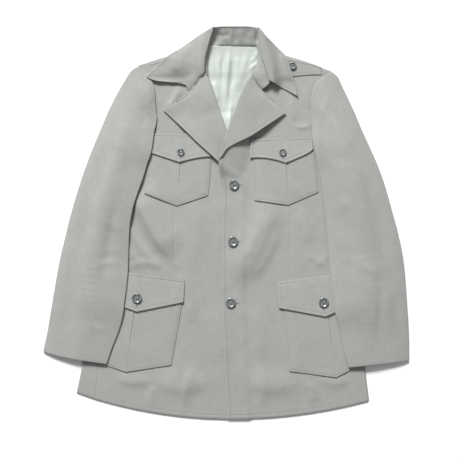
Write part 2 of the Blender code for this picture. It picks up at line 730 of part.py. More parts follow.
def main():
    for item in list(bpy.data.objects):
        bpy.data.objects.remove(item, do_unlink=True)
    bpy.context.scene.collection.children.link(bpy.data.collections.new(COLLECTION))
    pile = Pile()
    leaf = resample(COLLAR_LEAF, FINE_STEP)
    lay_collar_behind(pile, leaf)
    make_back(pile)
    x, y = lay_out(resample(LINING, FINE_STEP * 1.5), shares(12))
    spread_panel(pile, "back_lining", x, y, ("back",), LINING_CLOTH, LINING_COLOUR, folds(x, y, LINING_FOLDS))
    make_fronts(pile)
    for side in ("right", "left"):
        name = f"epaulette_{side}"
        x, y = lay_out(resample(EPAULETTES[name], FINE_STEP), shares(4))
        spread_panel(pile, name, x, y, (f"front_{side}", "back"), THIN_CLOTH, CLOTH_COLOUR)
    x, y = lay_out(resample(COLLAR_STAND, FINE_STEP, trim=SEAM), shares(4))
    spread_panel(pile, "collar_stand", x, y, ("collar_behind", "back", "back_lining", "front_left", "front_right"),
                 CLOTH, CLOTH_COLOUR)
    make_buttons(pile)
    make_collar(pile, leaf)
    for name, table, side, fold_table in (("sleeve_right", SLEEVE_RIGHT, -1, SLEEVE_RIGHT_FOLDS),
                                          ("sleeve_left", SLEEVE_LEFT, 1, SLEEVE_LEFT_FOLDS)):
        wearer = name.split("_")[1]
        over = ("back", "back_wrap", f"front_{wearer}", f"chest_pocket_{wearer}", f"chest_flap_{wearer}",
                f"hip_pocket_{wearer}", f"hip_flap_{wearer}")
        make_sleeve(pile, name, table, side, over, fold_table)


main()
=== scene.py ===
"""Looks of a cotton jacket of military cut, laid flat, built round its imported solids.

The jacket lies on the plane z = 0 with its neck towards +Y and its front up, so
+X is the wearer's left. Each piece of cloth is a thin shell on the form of its
solid: its plan comes from the same short tables of cross sections, and its height
from the pieces that it rests on. All sizes are millimetres and are turned to
metres where a mesh is made.
"""

import math

import bpy
import numpy as np
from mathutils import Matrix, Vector


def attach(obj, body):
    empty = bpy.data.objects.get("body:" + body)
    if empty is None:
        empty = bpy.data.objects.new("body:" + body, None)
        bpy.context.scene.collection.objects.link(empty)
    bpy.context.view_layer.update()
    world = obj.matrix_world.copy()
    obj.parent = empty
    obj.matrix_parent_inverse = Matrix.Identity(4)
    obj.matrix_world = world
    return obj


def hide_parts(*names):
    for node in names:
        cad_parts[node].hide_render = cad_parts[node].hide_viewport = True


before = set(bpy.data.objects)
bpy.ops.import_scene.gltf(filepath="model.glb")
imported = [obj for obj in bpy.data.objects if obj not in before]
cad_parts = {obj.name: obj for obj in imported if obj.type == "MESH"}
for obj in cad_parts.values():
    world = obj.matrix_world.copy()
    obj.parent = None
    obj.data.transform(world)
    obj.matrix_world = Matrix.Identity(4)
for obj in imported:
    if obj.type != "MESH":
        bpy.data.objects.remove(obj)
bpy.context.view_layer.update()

MM = 0.001

# Cloth and seams
CLOTH = 1.5             # wall of the body, sleeves and collar
THIN_CLOTH = 1.3        # wall of pockets, flaps and epaulettes
LINING_CLOTH = 1.0      # wall of the lining
SEAM = 0.3              # gap between pieces that are sewn together
SLOPE = 0.35            # steepest rise where cloth climbs over another piece
FREE_SLOPE = 0.12       # the same for a lapel or sleeve, which bridges more

# Turned and topstitched edges
FRONT_STITCH = 7.4      # stitching inside the front edge and the hem
COLLAR_STITCH = 6.2     # inside the edges of collar, lapels and flaps
STRAP_STITCH = 4.0      # inside the edges of the epaulettes
POCKET_STITCH = 3.2     # inside the edges of the patch pockets
TURNED = 0.20           # how much thicker the turned edge is
TURNED_END = 0.8        # how softly that thickness ends
GROOVE = 0.30           # how deep the stitching draws in
GROOVE_WIDTH = 1.0
GROOVE_ROWS = (-1.6, -0.7, 0.0, 0.7, 1.6)   # rows of the mesh beside a line of stitching
STITCH_SHADE = 1.2      # half width of the painted shade along a line of stitching
SEWN_SHADE = 4.4        # how dark the painted shade on a sewn edge is, against a line of stitching
SEWN_WIDTH = 2.0        # half width of that painted shade
STITCH_PITCH = 3.4
STITCH_LENGTH = 2.3
THREAD = 0.5            # width of a stitch
STITCH_SIDES = 5        # points round a stitch
RING_PLACE = 0.6        # share of its half length at which it has its full width
RIB_PITCH = 0.9         # spacing of the twill's ribs

# Rolls and crests
ROLL_OUT = 2.2          # how far a roll stands out beyond its line
ROLL_FALL = 1.5         # how far the collar falls from its crest to the edge of its roll
ROLL_REACH = 2.5        # how far the collar's fold at the back of the neck rounds out
CAP_EASE = 1.5          # height over which a crest is eased to the height that it may reach
LAPEL_TOP = 21.0        # height that a lapel's crest may reach
COLLAR_TOP = 23.5       # the same for the collar
SLEEVE_TOP = 23.5       # the same for a sleeve
STAND_TOP = 21.5        # height of the fold at the back of the neck
STAND_RISE = 9.0        # height of the stand's top above its seam
SEAM_DROP = 1.9         # how far the stand's lower edge is drawn down to the lining
SEAM_REACH = 3.0        # how far in that dies away
FLUSH_ENDS = (0.2, 0.68)    # shares of the stand's length between which its top is flush with the fold
FLUSH_FADE = 0.06       # share over which it gets so
STAND_REACH = 30.0      # how far round it the stand feels the pieces under it
NECK_RISE = 4.0         # how high the lining is lifted at the neck seam
NECK_REACH = 26.0       # how far in that dies away
ROLL_POWER = 1.3        # how fast a lapel's roll sinks to the cloth under it
ROLL_WIDTH = 20.0       # half width of the collar's roll
FALL_REACH = 4.0        # how far in the collar's fall to the edge of its roll dies away
LIFT_POWER = 3          # how near its free edge a lapel, flap or collar begins to lift
LEAF_SLOPE = 0.7        # steepest rise of the collar's leaf
USUAL_LEAF = 60.0       # width of leaf for which the columns beside its stitching are placed
FOLD_AWAY = 40.0        # how far the stitching is moved off the leaf's edge where it is folded

# Ripple of each kind of piece: rise, wave length
RIPPLES = {
    "lining": (0.25, 26), "front": (0.16, 22), "pocket": (0.12, 16), "flap": (0.2, 16),
    "lapel": (0.12, 18), "collar": (0.12, 18), "stand": (0.35, 12), "sleeve": (0.25, 34),
}
CREASE_POINTS = 36      # points along a crease's path
CREASE_SPAN = 3         # its reach, in half widths
CREASE_FADE = 0.3       # share of its path over which it fades at each end
CREASE_ENDS = 0.15      # share of its rise that is left there

# Pockets, flaps, fronts and darts
PLEAT = 0.9             # rise of a pocket's pleat, and depth of the crease beside it
PLEAT_END = 0.72        # share of the pocket's height at which its pleat has died away
PLEAT_FADE = 0.12       # share over which it does so
PLEAT_LEFT = 0.25       # share of its rise that is left below
PLEAT_WIDTH = 7.0       # half width of its rise
PLEAT_FOLD = 0.7        # how softly it ends at its fold
PLEAT_CREASE = (0.8, 0.9)   # place and half width of the crease beside it
POCKET_PUFF = 1.2       # rise of a pocket's middle
PUFF_REACH = 24.0       # distance from its edges at which it is full
PUFF_POWER = 0.7
POCKET_SIDES = 0.5      # how far its sides are drawn down
SIDES_REACH = 3.0       # how far in that dies away
FLAP_LIFT = 1.6         # how far a flap's free edge stands off
FLAP_SUNK = 1.7         # how far its sewn edge is sunk
SUNK_REACH = 24.0       # how far in that dies away
LAP_LIFT = 5.0          # rise of the left front's edge below its lapel
LAP_CENTRE = 108.0      # its place up the front
LAP_LENGTH = 30.0
LAP_WIDTH = 9.0
STITCH_ENDS = (130, 160)    # heights between which the front's edge loses its stitching to the lapel
FAR = 400.0             # further than any line of stitching
DART_DEPTH = 0.6
DART_WIDTH = 1.1
DART_FADE = 30.0        # how far from its ends a dart is full
DART_BEND = 0.08        # share of the width by which the mesh may bend to follow a dart
# Darts: x, lower end y, upper end y
DARTS = {"right": (-109.5, -106, 32), "left": (134.5, -112, 36)}

# Buttons and buttonholes
FRONT_BUTTON = 21.0     # diameter of front and hip pocket buttons
SMALL_BUTTON = 15.0     # diameter of chest pocket and epaulette buttons
BUTTON_HEIGHT = 3.0
BUTTON_SIDES = 48
BUTTON_MIDDLE = 0.62    # height of the middle of the face, as a share of the button's
CROSS_HEIGHT = 0.66     # the same for the thread that holds it
HOLE_PITCH = 0.8        # spacing of the threads across a buttonhole
HOLE_START = -0.2       # where it starts, in button diameters from the button's middle
HOLE_SHOWS = 6.5        # how much of a buttonhole shows beyond its button
# Button profile from the middle out and round to the underside: share of radius, share of height
BUTTON_PROFILE = (
    (0.10, 0.62), (0.17, 0.58), (0.22, 0.48), (0.32, 0.42), (0.50, 0.44), (0.62, 0.56), (0.70, 0.78),
    (0.78, 0.95), (0.86, 1.0), (0.94, 0.93), (0.99, 0.75), (1.0, 0.55), (0.97, 0.25), (0.88, 0.0),
)

# Sleeves
HEAD_LEAN = 3.0         # how far the curve of the sleeve head leans to the shoulder
CREST_SHARE = 0.42      # where the crest of a sleeve lies, from its outer edge
CROWN_POWER = 1.7       # how flat its crown is
SLEEVE_LENGTH = 640.0   # length that the weave is laid out over
# Thickness: share along the sleeve, height at its edges, height of its crown above that
SLEEVE_THICKNESS = (
    (0.0, 0.05, 0.2, 0.6, 1.0),
    (3.6, 4.0, 4.0, 4.0, 4.0),
    (0.4, 6.0, 12.0, 11.0, 7.0),
)

# Mesh density
BACK_STEP = 5.0
SLEEVE_STEP = 4.0
PANEL_STEP = 3.4
SMALL_STEP = 2.4
LEAF_STEP = 0.04        # share of the leaf's width
UNDER_COLUMNS = 20      # columns of the collar's part behind the neck
SLEEVE_COLUMNS = 52     # columns over a sleeve, and half as many under it

# Grid on which the pile of pieces is measured
CELL = 2.0
HALF_X = 420.0
HALF_Y = 440.0
REACH = 6.0             # how far round a point the pieces under it are felt

# Floor
FLOOR_HALF = 6000.0
FLOOR_DROP = 0.5

# Colour of the twill, and its shade
TWILL = ((0.340, 0.347, 0.331, 1.0), (0.300, 0.307, 0.292, 1.0))

# Camera and light, in metres and watts
CAMERA_HEIGHT = 3.4
JACKET_MIDDLE = 0.006   # height on the jacket that the camera's height is measured from
VIEW_WIDTH = 0.966
VIEW_CENTRE = (0.0084, -0.01575)
LIGHT_PLACE = (-1.8, 5.8, 4.75)
LIGHT_SIDE = 2.1
LIGHT_POWER = 960.0
WORLD_LIGHT = 0.31

# Plan of each piece, as in the solids: one row per cross section between its two edges.
# Back, from the hem up: wearer's right edge x, y, left edge x, y, dip of the middle towards the hem
BACK = (
    (-314, -357, 300, -373, 42),
    (-304, -308, 293, -314, 29),
    (-298, -257, 289, -257, 17),
    (-288, -184, 286, -184, 6),
    (-271, -100, 281, -100, 0),
    (-256, -26, 277, -26, 0),
    (-242, 37, 272, 37, 0),
    (-227, 102, 265, 91, 0),
    (-171, 142, 206, 125, 0),
    (-152, 182, 184, 159, 0),
    (-145, 219, 181, 194, 0),
    (-149, 247, 181, 232, 0),
    (-155, 282, 183, 266, -4),
    (-164, 306, 193, 293, -16),
    (-183, 329, 220, 317, -43),
)
WRAPPED_ROWS = 8        # rows of BACK that wrap round the wearer's right side to the side seam
# Fronts, from the hem up: edge at the centre x, y, side x, y, dip
FRONT_RIGHT = (
    (42, -412, -275, -370, 13),
    (37, -320, -268, -303, 10),
    (33, -236, -264, -257, 6),
    (30, -146, -258, -184, 2),
    (29, -58, -249, -100, 0),
    (30, 22, -239, -26, 0),
    (29, 85, -229, 37, 0),
    (26, 108, -217, 96, 0),
    (20, 126, -171, 142, 0),
    (11, 152, -152, 182, 0),
    (1, 184, -145, 219, 0),
    (-9, 217, -149, 247, 0),
    (-25, 270, -155, 285, 0),
    (-38, 310, -164, 308, 0),
    (-43, 341, -172, 320, 0),
    (-46, 371, -183, 330, 0),
)
FRONT_LEFT = (
    (3, -412, 298, -374, 10),
    (-2, -315, 291, -311, 6),
    (-7, -226, 286, -226, 4),
    (-9, -142, 283, -142, 2),
    (-10, -58, 278, -58, 0),
    (-7, 22, 273, 26, 0),
    (-6, 77, 263, 91, 0),
    (-14, 119, 206, 125, 0),
    (-9, 152, 184, 154, 0),
    (1, 184, 180, 188, 0),
    (17, 230, 181, 230, 0),
    (37, 280, 183, 267, 0),
    (52, 308, 193, 294, 0),
    (67, 337, 204, 309, 0),
    (76, 366, 220, 318, 0),
)
# Lining, from its lower end up: left edge x, y, right edge x, y, dip
LINING = (
    (24, 152, -14, 152, 0),
    (42, 219, -24, 219, 0),
    (62, 274, -40, 274, 0),
    (74, 316, -54, 316, 0),
    (80, 348, -54, 348, 0),
    (66, 369.5, -32, 371, 0),
)
# Lapels, from the notch down: roll line x, y, outer edge x, y
LAPEL_RIGHT = (
    (-46, 314, -74, 274),
    (-38, 300, -102, 255),
    (-32, 284, -131, 236),
    (-21, 253, -94, 202),
    (-9, 217, -57, 166),
    (2, 182, -29, 141),
    (12, 152, -8, 122),
    (22, 123, 19, 106),
)
LAPEL_LEFT = (
    (55, 309, 74, 276),
    (47, 298, 99, 253),
    (39, 286, 125, 230),
    (29, 261, 86, 204),
    (18, 230, 49, 180),
    (6, 198, 22, 167),
    (-3, 173, 1, 154),
    (-14, 133, -9, 140),
)
# Collar leaf, once round the neck from notch to notch.
# roll line x, y, outer edge or fold x, y, edge of the part behind the neck x, y
COLLAR_LEAF = (
    (-75.7, 275.7, -93, 298, -93, 298),
    (-66.0, 287.9, -112, 295, -112, 295),
    (-55.7, 301.6, -143, 297.5, -143, 297.5),
    (-46.5, 315.5, -166, 307, -166, 307),
    (-46, 333, -147, 327, -147, 327),
    (-44, 350, -124, 348, -124, 348),
    (-41, 361, -109, 358, -105, 350),
    (-40, 366, -92, 369, -92, 336),
    (-35, 383, -63, 389, -63, 331),
    (-30, 398, -42, 402, -42, 329),
    (-26, 408, -24, 411, -24, 329),
    (0, 412, 0, 412, 0, 329),
    (40, 412, 40, 412, 40, 329),
    (67, 408, 70, 408, 69, 329),
    (70, 394, 83, 393, 82, 330),
    (71, 379, 97, 379, 97, 333),
    (73, 366, 109, 367, 106, 350),
    (76, 348, 126, 348, 126, 348),
    (81, 331, 135, 323, 135, 323),
    (87, 312, 143.5, 293, 143.5, 293),
    (91, 298, 150, 266, 150, 266),
)
FOLD_FIRST = 6          # rows of COLLAR_LEAF between which it folds behind
FOLD_LAST = 16
BEHIND_FIRST = 10       # rows between which the whole leaf lies behind
BEHIND_LAST = 13
# Stand, from the wearer's right round the neck: neck seam x, y, roll line x, y
COLLAR_STAND = (
    (-38, 308, -47, 316),
    (-38, 345, -47, 348),
    (-35, 368, -42, 374),
    (-25, 372, -26.5, 406),
    (0, 371.5, 0, 409.6),
    (40, 370.5, 40, 409.6),
    (63, 370, 68, 403),
    (67, 350, 76, 362),
    (63, 327, 86, 329),
    (56.5, 309, 91, 308),
    (64.7, 294.3, 93, 298),
    (75.4, 277.5, 79, 281),
)
# Sleeves, from the head to the cuff: outer fold x, y, inner fold x, y, bow towards the neck
SLEEVE_RIGHT = (
    (-185, 328, -145, 219, 15),
    (-199, 319, -147, 203, 12),
    (-210, 303, -150, 192, 8),
    (-226, 276, -153, 169, 5),
    (-243, 243, -157, 146, 2),
    (-257, 211, -164, 125, 0),
    (-276, 166, -175, 89, 0),
    (-295, 117, -186, 58, 0),
    (-312, 66, -196, 24, 0),
    (-326, 18, -202, -18, 0),
    (-337, -26, -204, -58, 0),
    (-348, -72, -205, -96, 0),
    (-356, -114, -208, -131, 0),
    (-363, -156, -212, -163, 0),
    (-370, -196, -216, -196, 0),
    (-375, -228, -225, -228, 0),
    (-380, -251, -239, -264, -1),
    (-384, -270, -250, -297, -3),
)
SLEEVE_LEFT = (
    (222, 317, 180, 184, 23),
    (234, 307, 182, 171, 17),
    (243, 289, 185, 154, 11),
    (255, 264, 190, 129, 6),
    (270, 232, 197, 98, 2),
    (285, 196, 202, 68, 0),
    (301, 161, 206, 37, 0),
    (317, 125, 210, 5, 0),
    (333, 81, 213, -28, 0),
    (348, 28, 216, -70, 0),
    (361, -20, 219, -110, 0),
    (372, -75, 223, -146, 0),
    (377, -125, 227, -180, 0),
    (380, -171, 234, -209, 0),
    (383, -217, 242, -240, 0),
    (384, -255, 248, -272, 0),
    (384, -290, 257, -304, 0),
)
# Pockets and flaps, from the top down: x, y of the edge towards -X, x, y of the other,
# drop of the point below the lower edge, share of the width that lies to -X of the point
POCKETS = {
    "chest_pocket_right": (
        (-156, 180, -28, 180, 0, 0.51),
        (-162, 131, -31, 131, 0, 0.51),
        (-171, 62, -38, 57, 24, 0.51),
    ),
    "hip_pocket_right": (
        (-243, -108, -90, -127, 0, 0.36),
        (-246, -163, -94, -173, 0, 0.36),
        (-260, -297, -115, -299, 16, 0.345),
    ),
    "chest_pocket_left": (
        (56, 169, 184, 173, 0, 0.53),
        (57, 131, 187, 135, 0, 0.53),
        (60, 47, 194, 64, 19, 0.53),
    ),
    "hip_pocket_left": (
        (114, -135, 275, -112, 0, 0.58),
        (119, -173, 276, -154, 0, 0.585),
        (133, -312, 281, -300, 21, 0.665),
    ),
}
FLAPS = {
    "chest_flap_right": (
        (-156, 188, -28, 187, 0, 0.475),
        (-158, 147, -33, 139, 16, 0.475),
    ),
    "hip_flap_right": (
        (-245, -99, -87, -120, 0, 0.38),
        (-247, -165, -90, -167, 21, 0.38),
    ),
    "chest_flap_left": (
        (53, 176, 181, 181, 0, 0.57),
        (50, 136, 182, 155, 21, 0.57),
    ),
    "hip_flap_left": (
        (107, -124, 273, -101, 0, 0.59),
        (111, -179, 276, -169, 24, 0.59),
    ),
}
# How each half of a flap's lower edge falls to its point: 1 is straight, less is full, more is hollow
FLAP_BOWS = {
    "chest_flap_right": (1.0, 1.4),
    "chest_flap_left": (1.8, 0.62),
    "hip_flap_right": (1.0, 1.0),
    "hip_flap_left": (1.0, 1.0),
}
# Epaulettes, from the neck out: upper edge x, y, lower edge x, y, dip
EPAULETTES = {
    "epaulette_right": (
        (-84, 352, -82, 325, 0),
        (-101, 350, -99, 318, 0),
        (-120, 345, -118, 316, 0),
        (-143, 338, -143, 314, 0),
        (-160, 333, -159, 312, 0),
    ),
    "epaulette_left": (
        (122, 344, 121, 312, 0),
        (136, 343, 135, 308, 0),
        (155, 339, 155, 309, 0),
        (181, 333, 181, 311, 0),
        (200, 326, 200, 311, 0),
    ),
}
# Buttons: x, y, diameter, the piece that each one lies on
BUTTONS = {
    "button_front_top": (17, 79, FRONT_BUTTON, "front_left"),
    "button_front_middle": (15, -40, FRONT_BUTTON, "front_left"),
    "button_front_bottom": (10, -169, FRONT_BUTTON, "front_left"),
    "button_chest_right": (-95, 148, SMALL_BUTTON, "chest_flap_right"),
    "button_chest_left": (119, 147, SMALL_BUTTON, "chest_flap_left"),
    "button_hip_right": (-187, -159, FRONT_BUTTON, "hip_flap_right"),
    "button_hip_left": (205, -168, FRONT_BUTTON, "hip_flap_left"),
    "button_shoulder_right": (-103, 334, SMALL_BUTTON, "epaulette_right"),
    "button_shoulder_left": (140, 329, SMALL_BUTTON, "epaulette_left"),
}

# Folds listed one by one: path as x, y pairs, half width on its left and on its right, seen along
# the path, and rise at its crest. A negative rise is a hollow.
FRONT_RIGHT_CREASES = (
    (((-198, 78), (-176, 26), (-150, -26), (-108, -82)), 38, 13, 10.0),
    (((-214, 16), (-200, -18), (-178, -54), (-148, -92)), 8, 8, 3.4),
    (((-224, -30), (-206, -58), (-186, -88)), 12, 8, 2.6),
    (((-212, -96), (-176, -84), (-130, -92)), 8, 9, 2.0),
    (((-150, -326), (-96, -346), (-30, -330)), 32, 18, 3.8),
    (((-236, -322), (-196, -336), (-150, -330)), 18, 10, 2.4),
    (((-70, -300), (-84, -350), (-90, -392)), 12, 9, 2.2),
    (((-150, -340), (-158, -366), (-160, -386)), 10, 8, 1.8),
    (((-128, 236), (-110, 258), (-96, 286)), 6, 9, 2.8),
    (((-146, 236), (-150, 270), (-158, 300)), 8, 6, 1.6),
    (((-166, 140), (-178, 84), (-192, 40), (-204, -20), (-208, -96)), 3, 3, -1.4),
    (((-66, 60), (-58, -20), (-64, -92)), 16, 24, 1.8),
    (((-92, -90), (-80, -160), (-76, -220)), 20, 14, 2.0),
    (((-20, 60), (-6, 0), (2, -60)), 14, 18, 1.8),
    (((-40, -170), (-14, -230), (-4, -300)), 18, 24, 2.0),
)
FRONT_LEFT_CREASES = (
    (((100, 56), (80, -10), (54, -72), (4, -126)), 24, 40, 8.5),
    (((112, -8), (98, -50), (78, -88), (50, -124)), 9, 12, 2.0),
    (((66, -10), (54, -48), (38, -84)), 7, 12, 1.8),
    (((164, -66), (196, -82), (216, -100)), 8, 7, 1.2),
    (((218, -60), (204, -80), (176, -94)), 7, 8, 0.9),
    (((196, 100), (207, 40), (214, -40), (220, -112)), 3, 3, -1.5),
    (((134, 268), (139, 240), (146, 208)), 9, 6, 1.9),
    (((144, 204), (158, 199), (180, 205)), 5, 4, 1.5),
    (((166, 286), (172, 262), (176, 236)), 7, 8, 1.4),
    (((34, -322), (90, -346), (160, -332)), 32, 18, 3.8),
    (((190, -322), (224, -338), (262, -330)), 18, 10, 2.2),
    (((70, -296), (78, -350), (74, -394)), 12, 9, 2.2),
    (((170, -330), (182, -362), (186, -384)), 10, 8, 1.8),
    (((150, 30), (166, -10), (176, -50)), 12, 16, 2.2),
    (((24, 116), (36, 66), (40, 10)), 14, 16, 1.2),
    (((60, -160), (72, -230), (66, -300)), 18, 22, 2.2),
    (((240, -20), (246, -60), (248, -100)), 12, 10, 1.6),
)
LINING_CREASES = (
    (((8, 368), (5, 330), (1, 290), (0, 240)), 5, 7, 5.0),
    (((-3, 356), (-8, 322), (-7, 280)), 4, 4, -2.8),
    (((-14, 356), (-13, 320), (-8, 270)), 5, 5, 2.6),
    (((-34, 362), (-26, 320), (-16, 262), (-8, 220)), 6, 9, 3.0),
    (((14, 344), (16, 312), (10, 276)), 4, 5, -2.4),
    (((24, 356), (24, 316), (16, 270)), 6, 7, 3.2),
    (((46, 362), (36, 324), (24, 268)), 7, 6, 2.6),
    (((66, 360), (62, 348), (52, 334)), 3, 4, 2.2),
    (((72, 338), (60, 330), (48, 318)), 3, 4, 2.2),
    (((12, 262), (8, 220), (6, 176)), 5, 6, 3.0),
    (((-2, 236), (0, 200), (4, 170)), 3, 4, -1.6),
    (((0, 236), (3, 206), (6, 166)), 16, 16, 5.0),
    (((-28, 300), (-24, 280), (-16, 250)), 8, 8, 3.0),
    (((-46, 350), (-40, 316), (-32, 280)), 5, 6, 2.0),
)
STAND_CREASES = (
    (((-21, 412), (-22, 392), (-27, 370)), 9, 8, -8.0),
    (((-8, 402), (-2, 390), (4, 376)), 4, 5, 1.6),
    (((-20, 396), (-8, 392), (8, 397)), 3, 5, -2.4),
    (((6, 406), (12, 394), (8, 376)), 4, 5, 1.5),
    (((20, 406), (18, 394), (24, 376)), 3, 4, -1.6),
    (((30, 406), (30, 392), (34, 376)), 4, 5, 1.6),
    (((46, 404), (44, 390), (50, 376)), 4, 4, -1.4),
    (((66, 404), (64, 388), (64, 374)), 7, 4, -3.5),
)
COLLAR_CREASES = (
    (((-128, 322), (-96, 334), (-58, 338)), 9, 12, 1.0),
    (((-96, 318), (-84, 300), (-80, 288)), 8, 8, 0.8),
    (((92, 372), (104, 340), (112, 312)), 8, 8, 0.8),
)
SLEEVE_RIGHT_CREASES = (
    (((-196, 268), (-216, 180), (-244, 70), (-276, -60), (-296, -220)), 20, 26, 3.2),
    (((-232, 200), (-262, 100), (-290, 10), (-316, -90)), 14, 16, -2.0),
    (((-226, 60), (-238, 0), (-248, -70), (-262, -140)), 10, 12, -1.8),
    (((-330, -60), (-344, -130), (-352, -220)), 10, 10, 1.6),
    (((-171, 290), (-161, 270), (-153, 246)), 5, 6, 2.6),
    (((-188, 300), (-172, 266), (-162, 232)), 6, 7, 1.6),
    (((-178, 250), (-172, 226), (-170, 196)), 6, 7, -1.6),
    (((-206, -96), (-238, -84), (-272, -92)), 7, 9, 1.4),
    (((-214, 150), (-232, 168), (-244, 190)), 8, 10, 0.8),
    (((-292, -206), (-270, -222), (-246, -226)), 8, 8, 1.2),
    (((-210, -20), (-236, -6), (-262, 2)), 9, 10, 0.9),
    (((-212, -70), (-240, -60), (-280, -64)), 9, 10, 0.8),
)
SLEEVE_LEFT_CREASES = (
    (((226, 262), (252, 160), (278, 50), (300, -70), (306, -250)), 22, 26, 2.8),
    (((258, 210), (296, 90), (326, -10), (342, -110)), 14, 15, -2.0),
    (((232, 60), (250, 0), (262, -70), (270, -140)), 11, 12, -1.4),
    (((334, -130), (344, -190), (346, -250)), 9, 10, 1.4),
    (((196, 246), (210, 224), (222, 196)), 6, 7, 1.8),
    (((192, 214), (204, 190), (210, 150)), 6, 7, -1.4),
    (((202, 284), (212, 262), (216, 240)), 5, 6, 0.8),
    (((262, -88), (290, -94), (322, -110)), 7, 8, 1.1),
    (((240, -70), (268, -80), (300, -76)), 7, 8, 0.9),
    (((318, -124), (322, -180), (318, -250)), 9, 9, -1.6),
    (((222, 20), (244, 36), (270, 40)), 9, 10, 0.8),
)

# How far loose edges stand off what they lie on: share along the piece, rise of its roll,
# rise of its free edge
LAPEL_RIGHT_RISE = (
    (0.0, 3.0, 0.4), (0.15, 5.5, 0.6), (0.32, 6.5, 2.0), (0.6, 6.0, 4.0), (0.85, 3.6, 2.6), (1.0, 1.2, 0.2),
)
LAPEL_LEFT_RISE = (
    (0.0, 4.0, 0.4), (0.15, 8.0, 0.8), (0.32, 10.0, 2.0), (0.5, 10.0, 3.0), (0.75, 6.5, 3.8), (0.9, 3.0, 2.4),
    (1.0, 1.2, 0.6),
)
COLLAR_RISE = (
    (0.0, 1.0, 1.5), (0.08, 3.0, 6.0), (0.15, 5.0, 5.5), (0.20, 5.5, 2.0), (0.27, 4.0, 1.0),
    (0.34, 2.0, 0.0), (0.44, 0.5, 0.0), (0.56, 0.5, 0.0), (0.66, 2.0, 0.0), (0.74, 4.0, 0.0),
    (0.84, 7.5, 0.5), (0.93, 8.5, 2.0), (1.0, 8.5, 3.6),
)

# What each side's front, lapel and sleeve is made from, and what it lies on
FRONTS = {
    "right": (FRONT_RIGHT, FRONT_RIGHT_CREASES, ("back", "back_lining")),
    "left": (FRONT_LEFT, FRONT_LEFT_CREASES, ("back", "back_lining", "front_right", "lapel_right")),
}
LAPELS = {
    "right": (LAPEL_RIGHT, LAPEL_RIGHT_RISE,
              ("front_right", "back_lining", "chest_pocket_right", "chest_flap_right")),
    "left": (LAPEL_LEFT, LAPEL_LEFT_RISE, ("front_left", "front_right", "lapel_right", "back_lining")),
}
SLEEVES = {
    "right": (SLEEVE_RIGHT, SLEEVE_RIGHT_CREASES, -1, ("back_wrap",)),
    "left": (SLEEVE_LEFT, SLEEVE_LEFT_CREASES, 1, ()),
}
UNDER_COLLAR = ("back", "back_lining", "front_left", "front_right", "epaulette_left", "epaulette_right",
                "button_shoulder_right", "collar_stand")
UNDER_STAND = ("collar_behind", "back", "back_lining", "front_left", "front_right")


# Lines and grids

def run(points):
    """Distance run along a line of points."""
    return np.concatenate(([0.0], np.cumsum(np.linalg.norm(np.diff(points, axis=0), axis=1))))


def share_along(points):
    """Share from 0 to 1 of the way along a line of points."""
    reach = run(points)
    return reach / reach[-1]


def between(value, low, high):
    """How far a value has come from low to high, held between 0 and 1."""
    return np.clip((value - low) / (high - low), 0, 1)


def eased(share):
    """The share with a level start and end: 3 s squared less 2 s cubed."""
    return share * share * (3 - 2 * share)


def bell(distance, width):
    """Bell curve: 1 at no distance, falling as exp(-(distance / width) squared)."""
    return np.exp(-(distance / width) ** 2)


def capped(height, top):
    """The height, eased so that its crests stay under the top: a soft minimum of the two."""
    return -CAP_EASE * np.logaddexp(-height / CAP_EASE, -top / CAP_EASE)


def smooth(points, reach, at):
    """Values at the given distances on a curve through the points, which lie at the distances in reach.

    Between two points it is the cubic with their slopes. A slope is the harmonic
    mean of the rises before and after, or zero where they differ in sign, so the
    curve never overshoots.
    """
    rise = np.diff(points, axis=0) / np.diff(reach)[:, None]
    before, after = rise[:-1], rise[1:]
    same = before * after > 0
    total = np.where(same, before + after, 1.0)
    middle = np.where(same, 2 * before * after / total, 0.0)
    slope = np.vstack((rise[:1], middle, rise[-1:]))
    k = np.clip(np.searchsorted(reach, at, side="right") - 1, 0, len(reach) - 2)
    length = (reach[k + 1] - reach[k])[:, None]
    t = (at - reach[k])[:, None] / length
    return ((1 + 2 * t) * (1 - t) ** 2 * points[k] + t * (1 - t) ** 2 * length * slope[k]
            + t ** 2 * (3 - 2 * t) * points[k + 1] + t ** 2 * (t - 1) * length * slope[k + 1])


def evenly(start, end, step):
    """Distances from start to end in equal steps of about the step given."""
    return np.linspace(start, end, max(1, round((end - start) / step)) + 1)


def with_marks(at, marks, gap=0.6):
    """The distances with the marks added, less those that lie closer to a mark than the gap.

    A negative mark is measured from the far end.
    """
    marks = np.array(marks, float)
    marks = np.where(marks < 0, at[-1] + marks, marks)
    marks = np.unique(np.append(marks, at[[0, -1]]))
    near = np.abs(at[:, None] - marks[None, :]).min(axis=1) < gap
    return np.unique(np.append(at[~near], marks))


def stitch_marks(distance, ends=(1,)):
    """Distances of the mesh's rows beside a line of stitching; end -1 measures them from the far end."""
    return [end * (distance + side) for end in ends for side in GROOVE_ROWS]


def resample(table, step, corners=(), marks=()):
    """Rows about one step apart on a smooth curve through the table, sharp at its corners."""
    rows = np.array(table, float)
    rails = [np.linalg.norm(np.diff(rows[:, i:i + 2], axis=0), axis=1) for i in (0, 2)]
    along = np.concatenate(([0.0], np.cumsum(np.maximum(*rails))))
    at = np.unique(np.concatenate([evenly(a, b, step) for a, b in zip(along[:-1], along[1:])]))
    at = with_marks(at, marks)
    ends = [0, *corners, len(rows) - 1]
    pieces = []
    for first, last in zip(ends[:-1], ends[1:]):
        reach = along[first:last + 1]
        here = at[(at > reach[0] - 1e-6) & (at <= reach[-1] + 1e-6)]
        pieces.append(smooth(rows[first:last + 1], reach, here[1:] if first else here))
    return np.concatenate(pieces)


def row_of(rows, place):
    """Index of the dense row that lies nearest a row of its table, or nearest that row's first values."""
    return int(np.abs(rows[:, :len(place)] - place).sum(axis=1).argmin())


